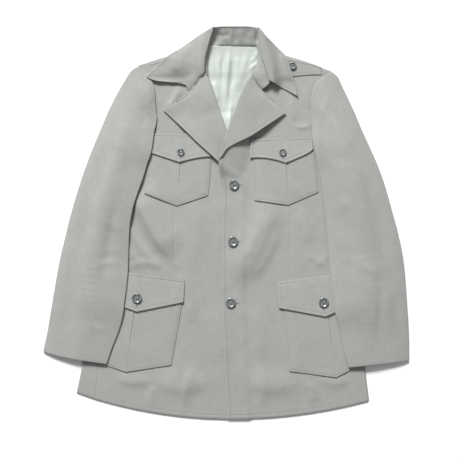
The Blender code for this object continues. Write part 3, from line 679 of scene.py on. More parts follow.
def width_of(rows):
    """Middle width of a panel, between its two rails."""
    return float(np.median(np.linalg.norm(rows[:, 2:4] - rows[:, 0:2], axis=1)))


def shares_across(rows, step, marks=()):
    """Shares from 0 to 1 across a panel, one step apart, with shares of their own at the marks."""
    width = width_of(rows)
    return with_marks(evenly(0.0, width, step), marks) / width


def lay_out(rows, across, sag=None):
    """Plan x and y of a panel: straight sections between two rails, less each row's dip times the sag.

    Where no sag is given it is 4 v (1 - v), a curve that is deepest in the middle.
    """
    v = np.atleast_2d(across)
    sag = 4 * v * (1 - v) if sag is None else sag
    dip = rows[:, 4:5] * sag if rows.shape[1] > 4 else 0.0
    x = rows[:, 0:1] + (rows[:, 2:3] - rows[:, 0:1]) * v
    y = rows[:, 1:2] + (rows[:, 3:4] - rows[:, 1:2]) * v - dip
    return np.broadcast_arrays(x, y)


def lay_out_pointed(table, stitch, bows=(1.0, 1.0)):
    """Plan x and y of a pocket or flap, with columns on both sides of the point in its lower edge.

    Each half of the edge falls to the point as a power, its bow, of the share of the way to it.
    """
    marks = stitch_marks(stitch)
    rows = resample(table, SMALL_STEP, marks=stitch_marks(stitch, (1, -1)))
    half = math.hypot(rows[0, 2] - rows[0, 0], rows[0, 3] - rows[0, 1]) / 2
    left = with_marks(evenly(0, half, SMALL_STEP), (*marks, GROOVE_ROWS[0], GROOVE_ROWS[1])) / half
    right = left[-2::-1]
    point = rows[:, 5:6]
    v = np.concatenate((point * left, 1 - (1 - point) * right), axis=1)
    return lay_out(rows, v, np.concatenate((left ** bows[0], right ** bows[1])))


def distances(x, y):
    """Distance of every point from the four sides of its panel, along the grid's own lines."""
    left = np.pad(np.cumsum(np.hypot(np.diff(x, axis=1), np.diff(y, axis=1)), axis=1), ((0, 0), (1, 0)))
    first = np.pad(np.cumsum(np.hypot(np.diff(x, axis=0), np.diff(y, axis=0)), axis=0), ((1, 0), (0, 0)))
    return {"left": left, "right": left[:, -1:] - left, "first": first, "last": first[-1:] - first}


def nearest(away, *sides):
    """Distance from the nearest of the sides named."""
    return np.minimum.reduce([away[side] for side in sides])


def share_down(away):
    """Share from 0 to 1 of the way from a panel's first row to its last."""
    return away["first"] / np.maximum(away["first"] + away["last"], 1e-6)


# Relief of the cloth

def ripple(x, y, kind):
    """Uneven ripple of one kind of piece: the mean of sine waves that run in five directions."""
    rise, wave = RIPPLES[kind]
    total = 0.0
    for k, angle in enumerate((0.3, 1.4, 2.6, 3.9, 5.2)):
        along = x * math.cos(angle) + y * math.sin(angle)
        total = total + np.sin(along * 2 * math.pi / (wave * (1 + 0.17 * k)) + 1.7 * k)
    return rise * (total / 5)


def creases(x, y, table):
    """Rise of the cloth: each fold is a bell curve across its path, and fades at both ends."""
    rise = np.zeros(x.shape)
    for path, left, right, height in table:
        points = np.array(path, float)
        reach = run(points)
        at = np.linspace(0, reach[-1], CREASE_POINTS)
        line = smooth(points, reach, at)
        span = max(left, right) * CREASE_SPAN
        low, high = line.min(axis=0) - span, line.max(axis=0) + span
        inside = (x > low[0]) & (x < high[0]) & (y > low[1]) & (y < high[1])
        if not inside.any():
            continue
        away = np.stack((x[inside], y[inside]), axis=1)[:, None, :] - line[None, :, :]
        apart = (away ** 2).sum(axis=2)
        k = apart.argmin(axis=1)
        heading = np.gradient(line, axis=0)[k]
        offset = away[np.arange(len(k)), k]
        side = heading[:, 0] * offset[:, 1] - heading[:, 1] * offset[:, 0]
        width = np.where(side > 0, left, right)
        share = at[k] / at[-1]
        fade = eased(between(np.minimum(share, 1 - share), 0, CREASE_FADE))
        fade = CREASE_ENDS + (1 - CREASE_ENDS) * fade
        rise[inside] += height * fade * np.exp(-apart.min(axis=1) / width ** 2)
    return rise


def turned_edge(distance, stitch):
    """Relief of a turned and stitched edge: a low plateau up to the stitching, which draws in a groove."""
    plateau = TURNED * 0.5 * (1 - np.tanh((distance - stitch) / TURNED_END))
    return plateau - GROOVE * bell(distance - stitch, GROOVE_WIDTH)


def refine(grid, times):
    """The grid with its cells filled in by straight lines both ways."""
    for axis in (0, 1):
        count = grid.shape[axis]
        at = np.linspace(0, count - 1, (count - 1) * times + 1)
        low = np.minimum(at.astype(int), count - 2)
        share = (at - low).reshape((-1, 1, 1) if axis == 0 else (1, -1, 1))
        grid = np.take(grid, low, axis) * (1 - share) + np.take(grid, low + 1, axis) * share
    return grid


class Pile:
    """Top height of every piece laid down so far, on a square grid over the table."""

    def __init__(self):
        self.tops = {}
        self.rows = round(2 * HALF_Y / CELL) + 1
        self.columns = round(2 * HALF_X / CELL) + 1

    def lay(self, name, grid, times=3):
        """Record a piece's top surface: each cell keeps the highest point that falls in it."""
        top = self.tops.setdefault(name, np.zeros((self.rows, self.columns)))
        points = refine(grid, times)
        i = np.clip(np.rint((points[..., 1] + HALF_Y) / CELL).astype(int), 0, self.rows - 1)
        j = np.clip(np.rint((points[..., 0] + HALF_X) / CELL).astype(int), 0, self.columns - 1)
        np.maximum.at(top, (i, j), points[..., 2])

    @staticmethod
    def _spread(height, drop):
        """Each cell takes its highest neighbour, less a drop for the distance."""
        padded = np.pad(height, 1)
        rows, columns = height.shape
        best = height
        for i in range(3):
            for j in range(3):
                fall = drop * (0.0, 1.0, math.sqrt(2))[abs(i - 1) + abs(j - 1)]
                best = np.maximum(best, padded[i:i + rows, j:j + columns] - fall)
        return best

    @staticmethod
    def _soften(height):
        """Each cell takes the mean of the three by three cells round it."""
        padded = np.pad(height, 1, mode="edge")
        height = (padded[:-2] + padded[1:-1] + padded[2:]) / 3
        return (height[:, :-2] + height[:, 1:-1] + height[:, 2:]) / 3

    def rest(self, names, x, y, reach=REACH, slope=SLOPE, soft=3):
        """Height at which cloth rests on the named pieces, eased down to the table beside them."""
        height = np.maximum.reduce([self.tops[name] for name in names])
        for _ in range(round(reach / CELL)):
            height = self._spread(height, 0.0)
        for _ in range(int(height.max() / (slope * CELL)) + 1):
            height = self._spread(height, slope * CELL)
        for _ in range(soft):
            height = self._soften(height)
        across = np.clip((np.asarray(x) + HALF_X) / CELL, 0, self.columns - 1.001)
        up = np.clip((np.asarray(y) + HALF_Y) / CELL, 0, self.rows - 1.001)
        i, j = up.astype(int), across.astype(int)
        s, t = up - i, across - j
        found = ((height[i, j] * (1 - t) + height[i, j + 1] * t) * (1 - s)
                 + (height[i + 1, j] * (1 - t) + height[i + 1, j + 1] * t) * s)
        return found + SEAM * np.clip(found / LINING_CLOTH, 0, 1)


pile = Pile()
stitch_lines = []


# Finishes

class Number:
    """A number socket that can be used in sums: each operation adds a Math node."""

    def __init__(self, finish, socket):
        self.finish = finish
        self.socket = socket

    def _with(self, operation, first, second=0.0):
        made = self.finish.node("ShaderNodeMath", {"operation": operation}, {0: first, 1: second})
        return Number(self.finish, made)

    def __add__(self, other):
        return self._with("ADD", self, other)

    __radd__ = __add__

    def __mul__(self, other):
        return self._with("MULTIPLY", self, other)

    __rmul__ = __mul__

    def __sub__(self, other):
        return self._with("SUBTRACT", self, other)

    def __rsub__(self, other):
        return self._with("SUBTRACT", other, self)

    def __pow__(self, other):
        return self._with("POWER", self, other)

    def sine(self):
        return self._with("SINE", self)

    def at_least(self, low):
        return self._with("MAXIMUM", self, low)


class Finish:
    """One material, with its nodes added by calls."""

    def __init__(self, name):
        self.material = bpy.data.materials.new(name)
        self.material.use_nodes = True
        self.tree = self.material.node_tree
        self.place = self.node("ShaderNodeTexCoord", {}, {}, "Object")
        self.uv = self.node("ShaderNodeUVMap", {"uv_map": "UVMap"}, {})

    def node(self, kind, settings, sockets, output=0):
        """Add a node: its settings first, then the values or links of its sockets."""
        made = self.tree.nodes.new(kind)
        for key, value in settings.items():
            setattr(made, key, value)
        self.fill(made, sockets)
        return made.outputs[output]

    def fill(self, node, sockets):
        """Link each of a node's sockets to another, or give it a value."""
        for key, value in sockets.items():
            value = value.socket if isinstance(value, Number) else value
            if isinstance(value, bpy.types.NodeSocket):
                self.tree.links.new(value, node.inputs[key])
            else:
                node.inputs[key].default_value = value

    def shade(self, sockets):
        """Set the sockets of the shader itself, and return the material."""
        self.fill(self.tree.nodes["Principled BSDF"], sockets)
        return self.material

    def cloud(self, scale, detail):
        """Noise through the space that the piece lies in."""
        return self.noise(self.place, scale, detail)

    def threads(self, across, along, detail):
        """Noise drawn out along the cloth's threads, with that many grains to a metre each way."""
        stretched = self.node("ShaderNodeMapping", {}, {"Vector": self.uv, "Scale": (across, along, 1.0)})
        return self.noise(stretched, 1.0, detail)

    def noise(self, vector, scale, detail):
        made = self.node("ShaderNodeTexNoise", {}, {"Vector": vector, "Scale": scale, "Detail": detail})
        return Number(self, made)

    def mix(self, share, first, second):
        """Colour between two colours."""
        return self.node("ShaderNodeMix", {"data_type": "RGBA"}, {0: share, 6: first, 7: second}, 2)

    def bump(self, height, strength, distance):
        return self.node("ShaderNodeBump", {}, {"Strength": strength, "Distance": distance, "Height": height})


def tinted(colour, share):
    """The colour made darker or paler by a share, no channel above 1."""
    return (*(min(1.0, channel * share) for channel in colour[:3]), 1.0)


def woven(name, colour, shade):
    """Twill cloth: fine diagonal ribs, slubs, faint mottling, pale worn rims, and painted shade along seams.
    """
    finish = Finish(name)
    slant = {0: finish.uv, 1: (1.0, 1.9, 0.0)}
    across = Number(finish, finish.node("ShaderNodeVectorMath", {"operation": "DOT_PRODUCT"}, slant, "Value"))
    ribs = (across * (2 * math.pi / (RIB_PITCH * MM))).sine()
    slub = finish.threads(70.0, 520.0, 3.0)
    warp = finish.threads(460.0, 40.0, 3.0)
    shade_and_wear = Number(finish, finish.node("ShaderNodeAttribute", {"attribute_name": "shade_and_wear"}, {}, "Fac"))
    tone = (finish.cloud(26.0, 4.0) - 0.5) * 1.2 + (slub - 0.5) * 2.0 + (warp - 0.5) * 1.5 + ribs * 0.10 + 0.5
    base = finish.mix(tone, shade, colour)
    # painted shade: below 0 the colour is darkened towards 0.72 of itself along stitching and sewn edges
    base = finish.mix((shade_and_wear * -1.0).at_least(0.0) * 0.30, base, tinted(colour, 0.72))
    # pale worn rims
    base = finish.mix(shade_and_wear.at_least(0.0) * 0.22, base, tinted(colour, 1.25))
    weave = finish.bump(ribs * 0.5 + slub * 0.8, 0.35, 0.12 * MM)
    return finish.shade({"Base Color": base, "Roughness": 0.85, "Specular IOR Level": 0.25,
                         "Sheen Weight": 0.15, "Sheen Roughness": 0.5, "Normal": weave})


def satin(name, colour, shade):
    """Lining satin: smooth and glossy, with fine threads across."""
    finish = Finish(name)
    thread = finish.threads(2400.0, 160.0, 2.0)
    tone = (finish.cloud(14.0, 3.0) - 0.5) * 0.6 + (thread - 0.5) * 0.3 + 0.5
    base = finish.mix(tone, shade, colour)
    weave = finish.bump(thread, 0.2, 0.05 * MM)
    return finish.shade({"Base Color": base, "Roughness": 0.36, "Sheen Weight": 0.2, "Normal": weave})


def polished(name, colour, shade):
    """Pearly plastic: clouded colour under a clear glossy coat."""
    finish = Finish(name)
    base = finish.mix(finish.cloud(260.0, 4.0) ** 2, colour, shade)
    return finish.shade({"Base Color": base, "Roughness": 0.22, "Coat Weight": 0.7, "Coat Roughness": 0.08})


def spun(name, colour):
    """Sewing thread: matt, with a faint twist."""
    finish = Finish(name)
    base = finish.mix(finish.cloud(1800.0, 2.0), tinted(colour, 0.7), colour)
    return finish.shade({"Base Color": base, "Roughness": 0.8, "Sheen Weight": 0.2})


cloth_finish = woven("grey_twill", *TWILL)
sleeve_finish = woven("sleeve_twill", *TWILL)
# a darker copy of the twill for the collar leaf: painted shade
shaded_collar_finish = woven("collar_twill_painted_shade", (0.325, 0.331, 0.314, 1.0), (0.285, 0.291, 0.276, 1.0))
lining_finish = satin("lining_satin", (0.57, 0.61, 0.57, 1.0), (0.45, 0.50, 0.45, 1.0))
button_finish = polished("button_horn", (0.05, 0.054, 0.057, 1.0), (0.42, 0.45, 0.45, 1.0))
thread_finish = spun("sewing_thread", (0.31, 0.317, 0.30, 1.0))


# Shells of cloth

def mesh_of(name, points, faces):
    """Mesh in metres of points and faces in millimetres."""
    mesh = bpy.data.meshes.new(name)
    mesh.from_pydata((np.array(points) * MM).tolist(), [], faces)
    return mesh


def surface_normals(grid, closed, judge):
    """Unit normals of a grid: cross product of its two directions, with the judged part looking up."""
    across = np.roll(grid, -1, 1) - np.roll(grid, 1, 1) if closed else np.gradient(grid, axis=1)
    normal = np.cross(across, np.gradient(grid, axis=0))
    length = np.linalg.norm(normal, axis=2, keepdims=True)
    normal = np.where(length > 1e-9, normal / np.maximum(length, 1e-9), (0.0, 0.0, 1.0))
    sign = 1.0 if normal[:, judge, 2].sum() > 0 else -1.0
    return normal * sign, sign


def cloth_mesh(name, grid, thickness, shade_and_wear=None, closed=False, keep=None, judge=slice(None), flat=None):
    """Shell of cloth: the grid, the same grid a thickness further in, and a half round rim between them.

    Each rim point is the middle of the wall plus half its thickness times
    (cos a) outwards and (sin a) along the normal, for a from 45 to -45 degrees.
    keep picks the cells that are cloth. The attribute of wear and shade is 1 on the rims, where
    cloth rubs pale, save along sewn edges, and below 0 along seams, where it is painted shade.
    """
    rows, columns = grid.shape[:2]
    normal, sign = surface_normals(grid, closed, judge)
    count = rows * columns
    index = np.arange(count).reshape(rows, columns)
    here = index if closed else index[:, :-1]
    right = np.roll(index, -1, 1) if closed else index[:, 1:]
    quads = np.stack((here[:-1], right[:-1], right[1:], here[1:]), axis=2)
    quads = quads[keep] if keep is not None else quads.reshape(-1, 4)
    if sign < 0:
        quads = quads[:, ::-1]
    starts, ends = quads.ravel(), np.roll(quads, -1, axis=1).ravel()
    open_edge = ~np.isin(starts * count + ends, ends * count + starts)
    a, b = starts[open_edge], ends[open_edge]
    top, up = grid.reshape(-1, 3), normal.reshape(-1, 3)
    bottom = top - up * thickness
    out = np.zeros_like(top)
    side = np.cross(top[b] - top[a], up[a] + up[b])
    np.add.at(out, a, side)
    np.add.at(out, b, side)
    out /= np.maximum(np.linalg.norm(out, axis=1, keepdims=True), 1e-9)
    rings = [top]
    for angle in np.radians((45, 0, -45)):
        rings.append((top + bottom) / 2 + thickness / 2 * (math.cos(angle) * out + math.sin(angle) * up))
    rings.append(bottom)
    faces = [quads, quads[:, ::-1] + 4 * count]
    for upper in range(0, 4 * count, count):
        lower = upper + count
        faces.append(np.stack((b + upper, a + upper, a + lower, b + lower), axis=1))
    used, faces = np.unique(np.concatenate(faces), return_inverse=True)
    faces = faces.reshape(-1, 4)
    mesh = mesh_of(name, np.concatenate(rings)[used], faces.tolist())
    if flat is None:
        away = distances(grid[..., 0], grid[..., 1])
        flat = np.dstack((away["left"], away["first"]))
    uv = np.tile(flat.reshape(-1, 2), (5, 1))[used] * MM
    layer = mesh.uv_layers.new(name="UVMap")
    layer.data.foreach_set("uv", uv[faces.ravel()].astype(np.float32).ravel())
    shade_and_wear = np.zeros(count) if shade_and_wear is None else shade_and_wear.ravel()
    # rims are pale wear, except along sewn edges, where they keep the painted shade
    rim_wear_and_shade = np.where(shade_and_wear < -1.0, shade_and_wear, 1.0)
    worn_and_shaded = np.concatenate((shade_and_wear, rim_wear_and_shade, rim_wear_and_shade, rim_wear_and_shade, shade_and_wear))[used]
    mesh.attributes.new("shade_and_wear", "FLOAT", "POINT").data.foreach_set("value", worn_and_shaded.astype(np.float32))
    mesh.validate()
    return mesh


def finish_piece(name, mesh, material, nodes=()):
    """Put a mesh in the scene as a piece that rides on the jacket and stands for its nodes."""
    mesh.materials.append(material)
    mesh.shade_smooth()
    piece = bpy.data.objects.new(f"sewn_{name}", mesh)
    bpy.context.scene.collection.objects.link(piece)
    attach(piece, "root")
    if nodes:
        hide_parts(*nodes)
    return piece


def finish_cloth(name, mesh, material, cut, over=()):
    """Put a piece of cloth in the scene; its cut (width, length and area in metres) and what it lies over are
    not used further.
    """
    piece = finish_piece(name, mesh, material, (name,))
    width, length, area = cut
    under = [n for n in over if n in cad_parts]
    min(area, width * length)


def cut_of(x, y):
    """Width, length and area of a panel's cut in metres, from its plan."""
    away = distances(x, y)
    cross = ((x[:-1, :-1] - x[1:, 1:]) * (y[:-1, 1:] - y[1:, :-1])
             - (x[:-1, 1:] - x[1:, :-1]) * (y[:-1, :-1] - y[1:, 1:]))
    width, length = away["left"].max() * MM, away["first"].max() * MM
    return width, length, min(float(np.abs(cross).sum() / 2) * MM * MM, width * length)


def stitch_panel(grid, seams, sewn=()):
    """Keep the stitched lines of a panel, and return its painted shade, from 0 down to -1 on a line.

    Each seam is (side, distance, first share, last share): it runs at that
    distance from that side, between the two shares of its length. A side that is
    sewn down gets a darker painted shade still.
    """
    away = distances(grid[..., 0], grid[..., 1])
    shade_and_wear = np.zeros(grid.shape[:2])
    for side, distance, first, last in seams:
        # painted shade along each line of stitching
        shade_and_wear = np.minimum(shade_and_wear, -bell(away[side] - distance, STITCH_SHADE))
        upright = side in ("left", "right")
        k = np.abs(away[side] - distance).mean(axis=0 if upright else 1).argmin()
        line = grid[:, k] if upright else grid[k]
        stitch_lines.append(line[int(first * len(line)):max(2, int(last * len(line)))])
    # sewn edges get a darker painted shade
    for side in sewn:
        shade_and_wear = np.minimum(shade_and_wear, -SEWN_SHADE * bell(away[side], SEWN_WIDTH))
    return shade_and_wear


def lay_panel(name, x, y, over, thickness, relief, material=cloth_finish, slot="cloth",
              seams=(), sewn=(), **rest):
    """Lay one flat panel on the pieces under it, stitch it, and add it to the pile."""
    grid = np.dstack((x, y, pile.rest(over, x, y, **rest) + thickness + relief))
    pile.lay(name, grid)
    mesh = cloth_mesh(name, grid, thickness, stitch_panel(grid, seams, sewn))
    finish_cloth(name, mesh, material, cut_of(x, y), over)


def curl(grid, drop, count=8):
    """Add a roll along the grid's first column: half an ellipse outwards and down to the drop given.

    Each point is the edge's middle height plus (cos a) outwards times the smaller
    of ROLL_OUT and half the drop, and (sin a) upwards times half the drop, for a
    from 90 to -90 degrees.
    """
    edge = grid[:, 0]
    out = edge[:, :2] - grid[:, 2, :2]
    out /= np.maximum(np.linalg.norm(out, axis=1, keepdims=True), 1e-9)
    angles = np.radians(np.linspace(-90, 90, count + 1))[:-1]
    half = drop[:, None] / 2
    reach = np.minimum(half, ROLL_OUT) * np.cos(angles)
    plan = edge[:, None, :2] + out[:, None, :] * reach[..., None]
    roll = np.dstack((plan, edge[:, None, 2] - half + half * np.sin(angles)))
    return np.concatenate((roll, grid), axis=1)


# Pieces of the jacket

def make_back():
    """Back on the table, wrapped round the wearer's right side as far as the side seam.

    The wrapped strip lies two radii up and meets the back in a half circle. Above
    the seam's end the strip and half circle have rows but no cloth.
    """
    rows = resample(BACK, BACK_STEP)
    x, y = lay_out(rows, shares_across(rows, BACK_STEP))
    base = pile.rest(("collar_behind",), x, y, reach=10)
    radius = CLOTH + SEAM / 2
    wrapped = row_of(rows, BACK[WRAPPED_ROWS - 1][:2]) + 1
    edge = np.stack((rows[:, 0] + radius, rows[:, 1]), axis=1)
    seam = resample(FRONT_RIGHT, BACK_STEP)[:, 2:4]
    seam_y = np.linspace(seam[0, 1], rows[wrapped - 1, 1], wrapped)
    seam_x = np.interp(seam_y, seam[:, 1], seam[:, 0]) - 2 * SEAM
    step_in = np.zeros((len(rows), 2))
    step_in[:wrapped] = np.stack((seam_x, seam_y), axis=1) - edge[:wrapped]
    step_in[wrapped:, 0] = step_in[wrapped - 1, 0]
    share = evenly(0, 1, 0.12)[::-1]
    strip = np.full((len(rows), len(share), 3), 2 * radius)
    strip[..., :2] = edge[:, None, :] + step_in[:, None, :] * share[None, :, None]
    turn = np.radians(np.linspace(90, -90, 9))[1:]
    fold = np.empty((len(rows), len(turn), 3))
    fold[..., 0] = edge[:, 0:1] - radius * np.cos(turn)
    fold[..., 1] = edge[:, 1:2]
    fold[..., 2] = radius + radius * np.sin(turn)
    lower = np.dstack((x, y, base))
    lower[:wrapped, 0, 0] = edge[:wrapped, 0] + 1.0
    full = np.concatenate((strip, fold, lower), axis=1)
    keep = np.ones((len(rows) - 1, full.shape[1] - 1), bool)
    keep[wrapped - 1:, :strip.shape[1] + fold.shape[1]] = False
    pile.lay("back", np.dstack((x, y, base + CLOTH)))
    pile.lay("back_wrap", strip[:wrapped])
    mesh = cloth_mesh("back", full, CLOTH, keep=keep, judge=slice(0, 4))
    body, turned = cut_of(x, y), cut_of(strip[:wrapped, :, 0], strip[:wrapped, :, 1])
    finish_cloth("back", mesh, cloth_finish, (body[0] + turned[0], body[1], body[2] + turned[2]))


def make_lining():
    """Lining of the back, where it shows in the neck: creased, and lifted at the neck seam."""
    rows = resample(LINING, SMALL_STEP)
    x, y = lay_out(rows, shares_across(rows, SMALL_STEP))
    relief = creases(x, y, LINING_CREASES) + ripple(x, y, "lining")
    relief += NECK_RISE * np.exp(-distances(x, y)["last"] / NECK_REACH)
    lay_panel("back_lining", x, y, ("back",), LINING_CLOTH, relief, lining_finish, "lining")


def make_front(side):
    """Front with a stitched edge and hem and a dart. Its columns bend so that one follows the dart.

    The left front's edge also rises where it laps over the right one below the
    lapels, and falls off as an exponential across it and a bell curve along it.
    """
    table, folds, over = FRONTS[side]
    rows = resample(table, PANEL_STEP, marks=stitch_marks(FRONT_STITCH))
    dart_x, dart_low, dart_high = DARTS[side]
    share = (dart_x - rows[:, 0]) / (rows[:, 2] - rows[:, 0])
    middle = float(np.median(share[(rows[:, 1] > dart_low) & (rows[:, 1] < dart_high)]))
    marks = stitch_marks(FRONT_STITCH) + stitch_marks(middle * width_of(rows))
    across = shares_across(rows, PANEL_STEP, marks)
    tent = np.minimum(across / middle, (1 - across) / (1 - middle))
    bend = np.clip(share - middle, -DART_BEND, DART_BEND)
    across = across[None, :] + bend[:, None] * tent[None, :]
    x, y = lay_out(rows, across)
    away = distances(x, y)
    near = np.minimum(away["left"] + FAR * between(y, *STITCH_ENDS), away["first"])
    relief = creases(x, y, folds) + turned_edge(near, FRONT_STITCH) + ripple(x, y, "front")
    along = between(np.minimum(y - dart_low, dart_high - y), 0, DART_FADE)
    relief -= DART_DEPTH * along * bell(x - dart_x, DART_WIDTH)
    if side == "left":
        relief += LAP_LIFT * np.exp(-away["left"] / LAP_WIDTH - ((y - LAP_CENTRE) / LAP_LENGTH) ** 2)
    seams = (("left", FRONT_STITCH, 0.0, 0.68), ("first", FRONT_STITCH, 0.0, 1.0))
    lay_panel(f"front_{side}", x, y, over, CLOTH, relief, seams=seams)


def make_pocket(name, front):
    """Patch pocket: stitched round three sides, puffed in the middle, with a pleat that dies away."""
    x, y = lay_out_pointed(POCKETS[name], POCKET_STITCH)
    away = distances(x, y)
    near = nearest(away, "left", "right", "last")
    half = x.shape[1] // 2
    beside = away["left"] - away["left"][:, half:half + 1]
    pleat = PLEAT * bell(beside.clip(max=0), PLEAT_WIDTH) * (1 - np.tanh(beside / PLEAT_FOLD)) / 2
    pleat -= PLEAT * bell(beside - PLEAT_CREASE[0], PLEAT_CREASE[1])
    pleat *= np.clip((PLEAT_END - share_down(away)) / PLEAT_FADE, PLEAT_LEFT, 1)
    puff = POCKET_PUFF * between(near, 0, PUFF_REACH) ** PUFF_POWER
    puff -= POCKET_SIDES * np.exp(-nearest(away, "left", "right") / SIDES_REACH)
    relief = turned_edge(near, POCKET_STITCH) + pleat + puff + ripple(x, y, "pocket")
    starts = (("left", 0.2), ("right", 0.2), ("last", 0.0))
    seams = [(edge, POCKET_STITCH, start, 1.0) for edge, start in starts]
    lay_panel(name, x, y, (front,), THIN_CLOTH, relief, seams=seams)


def make_flap(name, front, pocket):
    """Pointed flap: sewn down and sunk along its top, and a little lifted along its free edge."""
    x, y = lay_out_pointed(FLAPS[name], COLLAR_STITCH, FLAP_BOWS[name])
    away = distances(x, y)
    near = nearest(away, "left", "right", "first", "last")
    relief = turned_edge(near, COLLAR_STITCH) + FLAP_LIFT * share_down(away) ** LIFT_POWER
    relief += ripple(x, y, "flap") - FLAP_SUNK * np.exp(-away["first"] / SUNK_REACH)
    seams = [(edge, COLLAR_STITCH, 0.1, 0.95) for edge in ("left", "right")]
    seams += [(edge, COLLAR_STITCH, 0.03, 0.97) for edge in ("last", "first")]
    # its sewn top edge is darkened with painted shade
    lay_panel(name, x, y, (front, pocket), THIN_CLOTH, relief, seams=seams, sewn=("first",))


def make_lapel(side):
    """Lapel: rolled along its inner line, free and a little lifted along its outer edge.

    It rises from the cloth under it by the roll times a power of (1 - v), and by
    the free edge's rise times a power of v, with v from 0 at the roll to 1.
    """
    table, rise, over = LAPELS[side]
    rows = resample(table, SMALL_STEP, corners=(2,), marks=(0.6, *stitch_marks(COLLAR_STITCH)))[1:]
    v = shares_across(rows, SMALL_STEP, stitch_marks(COLLAR_STITCH, (-1,)))
    x, y = lay_out(rows, v)
    at, rolls, frees = np.array(rise).T
    share = share_along(rows[:, 2:4])
    roll = np.interp(share, at, rolls)
    lift = roll[:, None] * (1 - v) ** ROLL_POWER
    lift = lift + np.interp(share, at, frees)[:, None] * v ** LIFT_POWER
    near = nearest(distances(x, y), "right", "first")
    bridged = pile.rest(over, x, y, slope=FREE_SLOPE, soft=16)
    z = np.maximum(bridged, pile.rest(over, x, y, reach=2, soft=1)) + CLOTH + lift
    z += turned_edge(near, COLLAR_STITCH) + ripple(x, y, "lapel")
    grid = np.dstack((x, y, capped(z, LAPEL_TOP)))
    name = f"lapel_{side}"
    pile.lay(name, grid)
    # painted shade along the lapel's stitching
    shade_and_wear = stitch_panel(grid, (("right", COLLAR_STITCH, 0.0, 1.0), ("first", COLLAR_STITCH, 0.0, 1.0)))
    rolled = curl(grid, roll + CLOTH + 1.0)
    shade_and_wear = np.pad(shade_and_wear, ((0, 0), (rolled.shape[1] - grid.shape[1], 0)))
    mesh = cloth_mesh(name, rolled, CLOTH, shade_and_wear, judge=slice(12, None))
    finish_cloth(name, mesh, cloth_finish, cut_of(x, y), over)


def make_epaulette(side):
    """Epaulette on the shoulder, lifted a little at the end that goes under the collar."""
    name = f"epaulette_{side}"
    rows = resample(EPAULETTES[name], SMALL_STEP)
    x, y = lay_out(rows, shares_across(rows, SMALL_STEP, stitch_marks(STRAP_STITCH, (1, -1))))
    away = distances(x, y)
    near = nearest(away, "left", "right", "first")
    relief = turned_edge(near, STRAP_STITCH) + between(-away["first"], -30, 0)
    seams = (("left", STRAP_STITCH, 0.0, 1.0), ("right", STRAP_STITCH, 0.0, 1.0))
    lay_panel(name, x, y, (f"front_{side}", "back"), THIN_CLOTH, relief, seams=seams)


def make_stand():
    """Stand of the collar: rises from the neck seam, and is flush with the fold behind the neck."""
    rows = resample(COLLAR_STAND, SMALL_STEP, marks=(0.3,))[1:]
    across = shares_across(rows, SMALL_STEP)
    x, y = lay_out(rows, across)
    along = share_along(rows[:, 0:2])
    relief = STAND_RISE * across ** 1.2 * np.sin(np.pi * along)[:, None] ** 0.4
    relief = relief + creases(x, y, STAND_CREASES) + ripple(x, y, "stand")
    relief -= SEAM_DROP * np.exp(-distances(x, y)["left"] / SEAM_REACH)
    low, high = FLUSH_ENDS
    level = between(np.minimum(along - low, high - along), 0, FLUSH_FADE)[:, None] * across ** 4
    flush = STAND_TOP - CLOTH - pile.rest(UNDER_STAND, x, y, reach=STAND_REACH)
    relief = relief * (1 - level) + flush * level
    lay_panel("collar_stand", x, y, UNDER_STAND, CLOTH, relief, reach=STAND_REACH)


def behind_neck(edge, behind):
    """Plan of the collar's part behind the neck, from its folded edge to its free one."""
    w = np.linspace(0, 1, UNDER_COLUMNS)[None, :, None]
    return edge[:, None, :] * (1 - w) + behind[:, None, :] * w


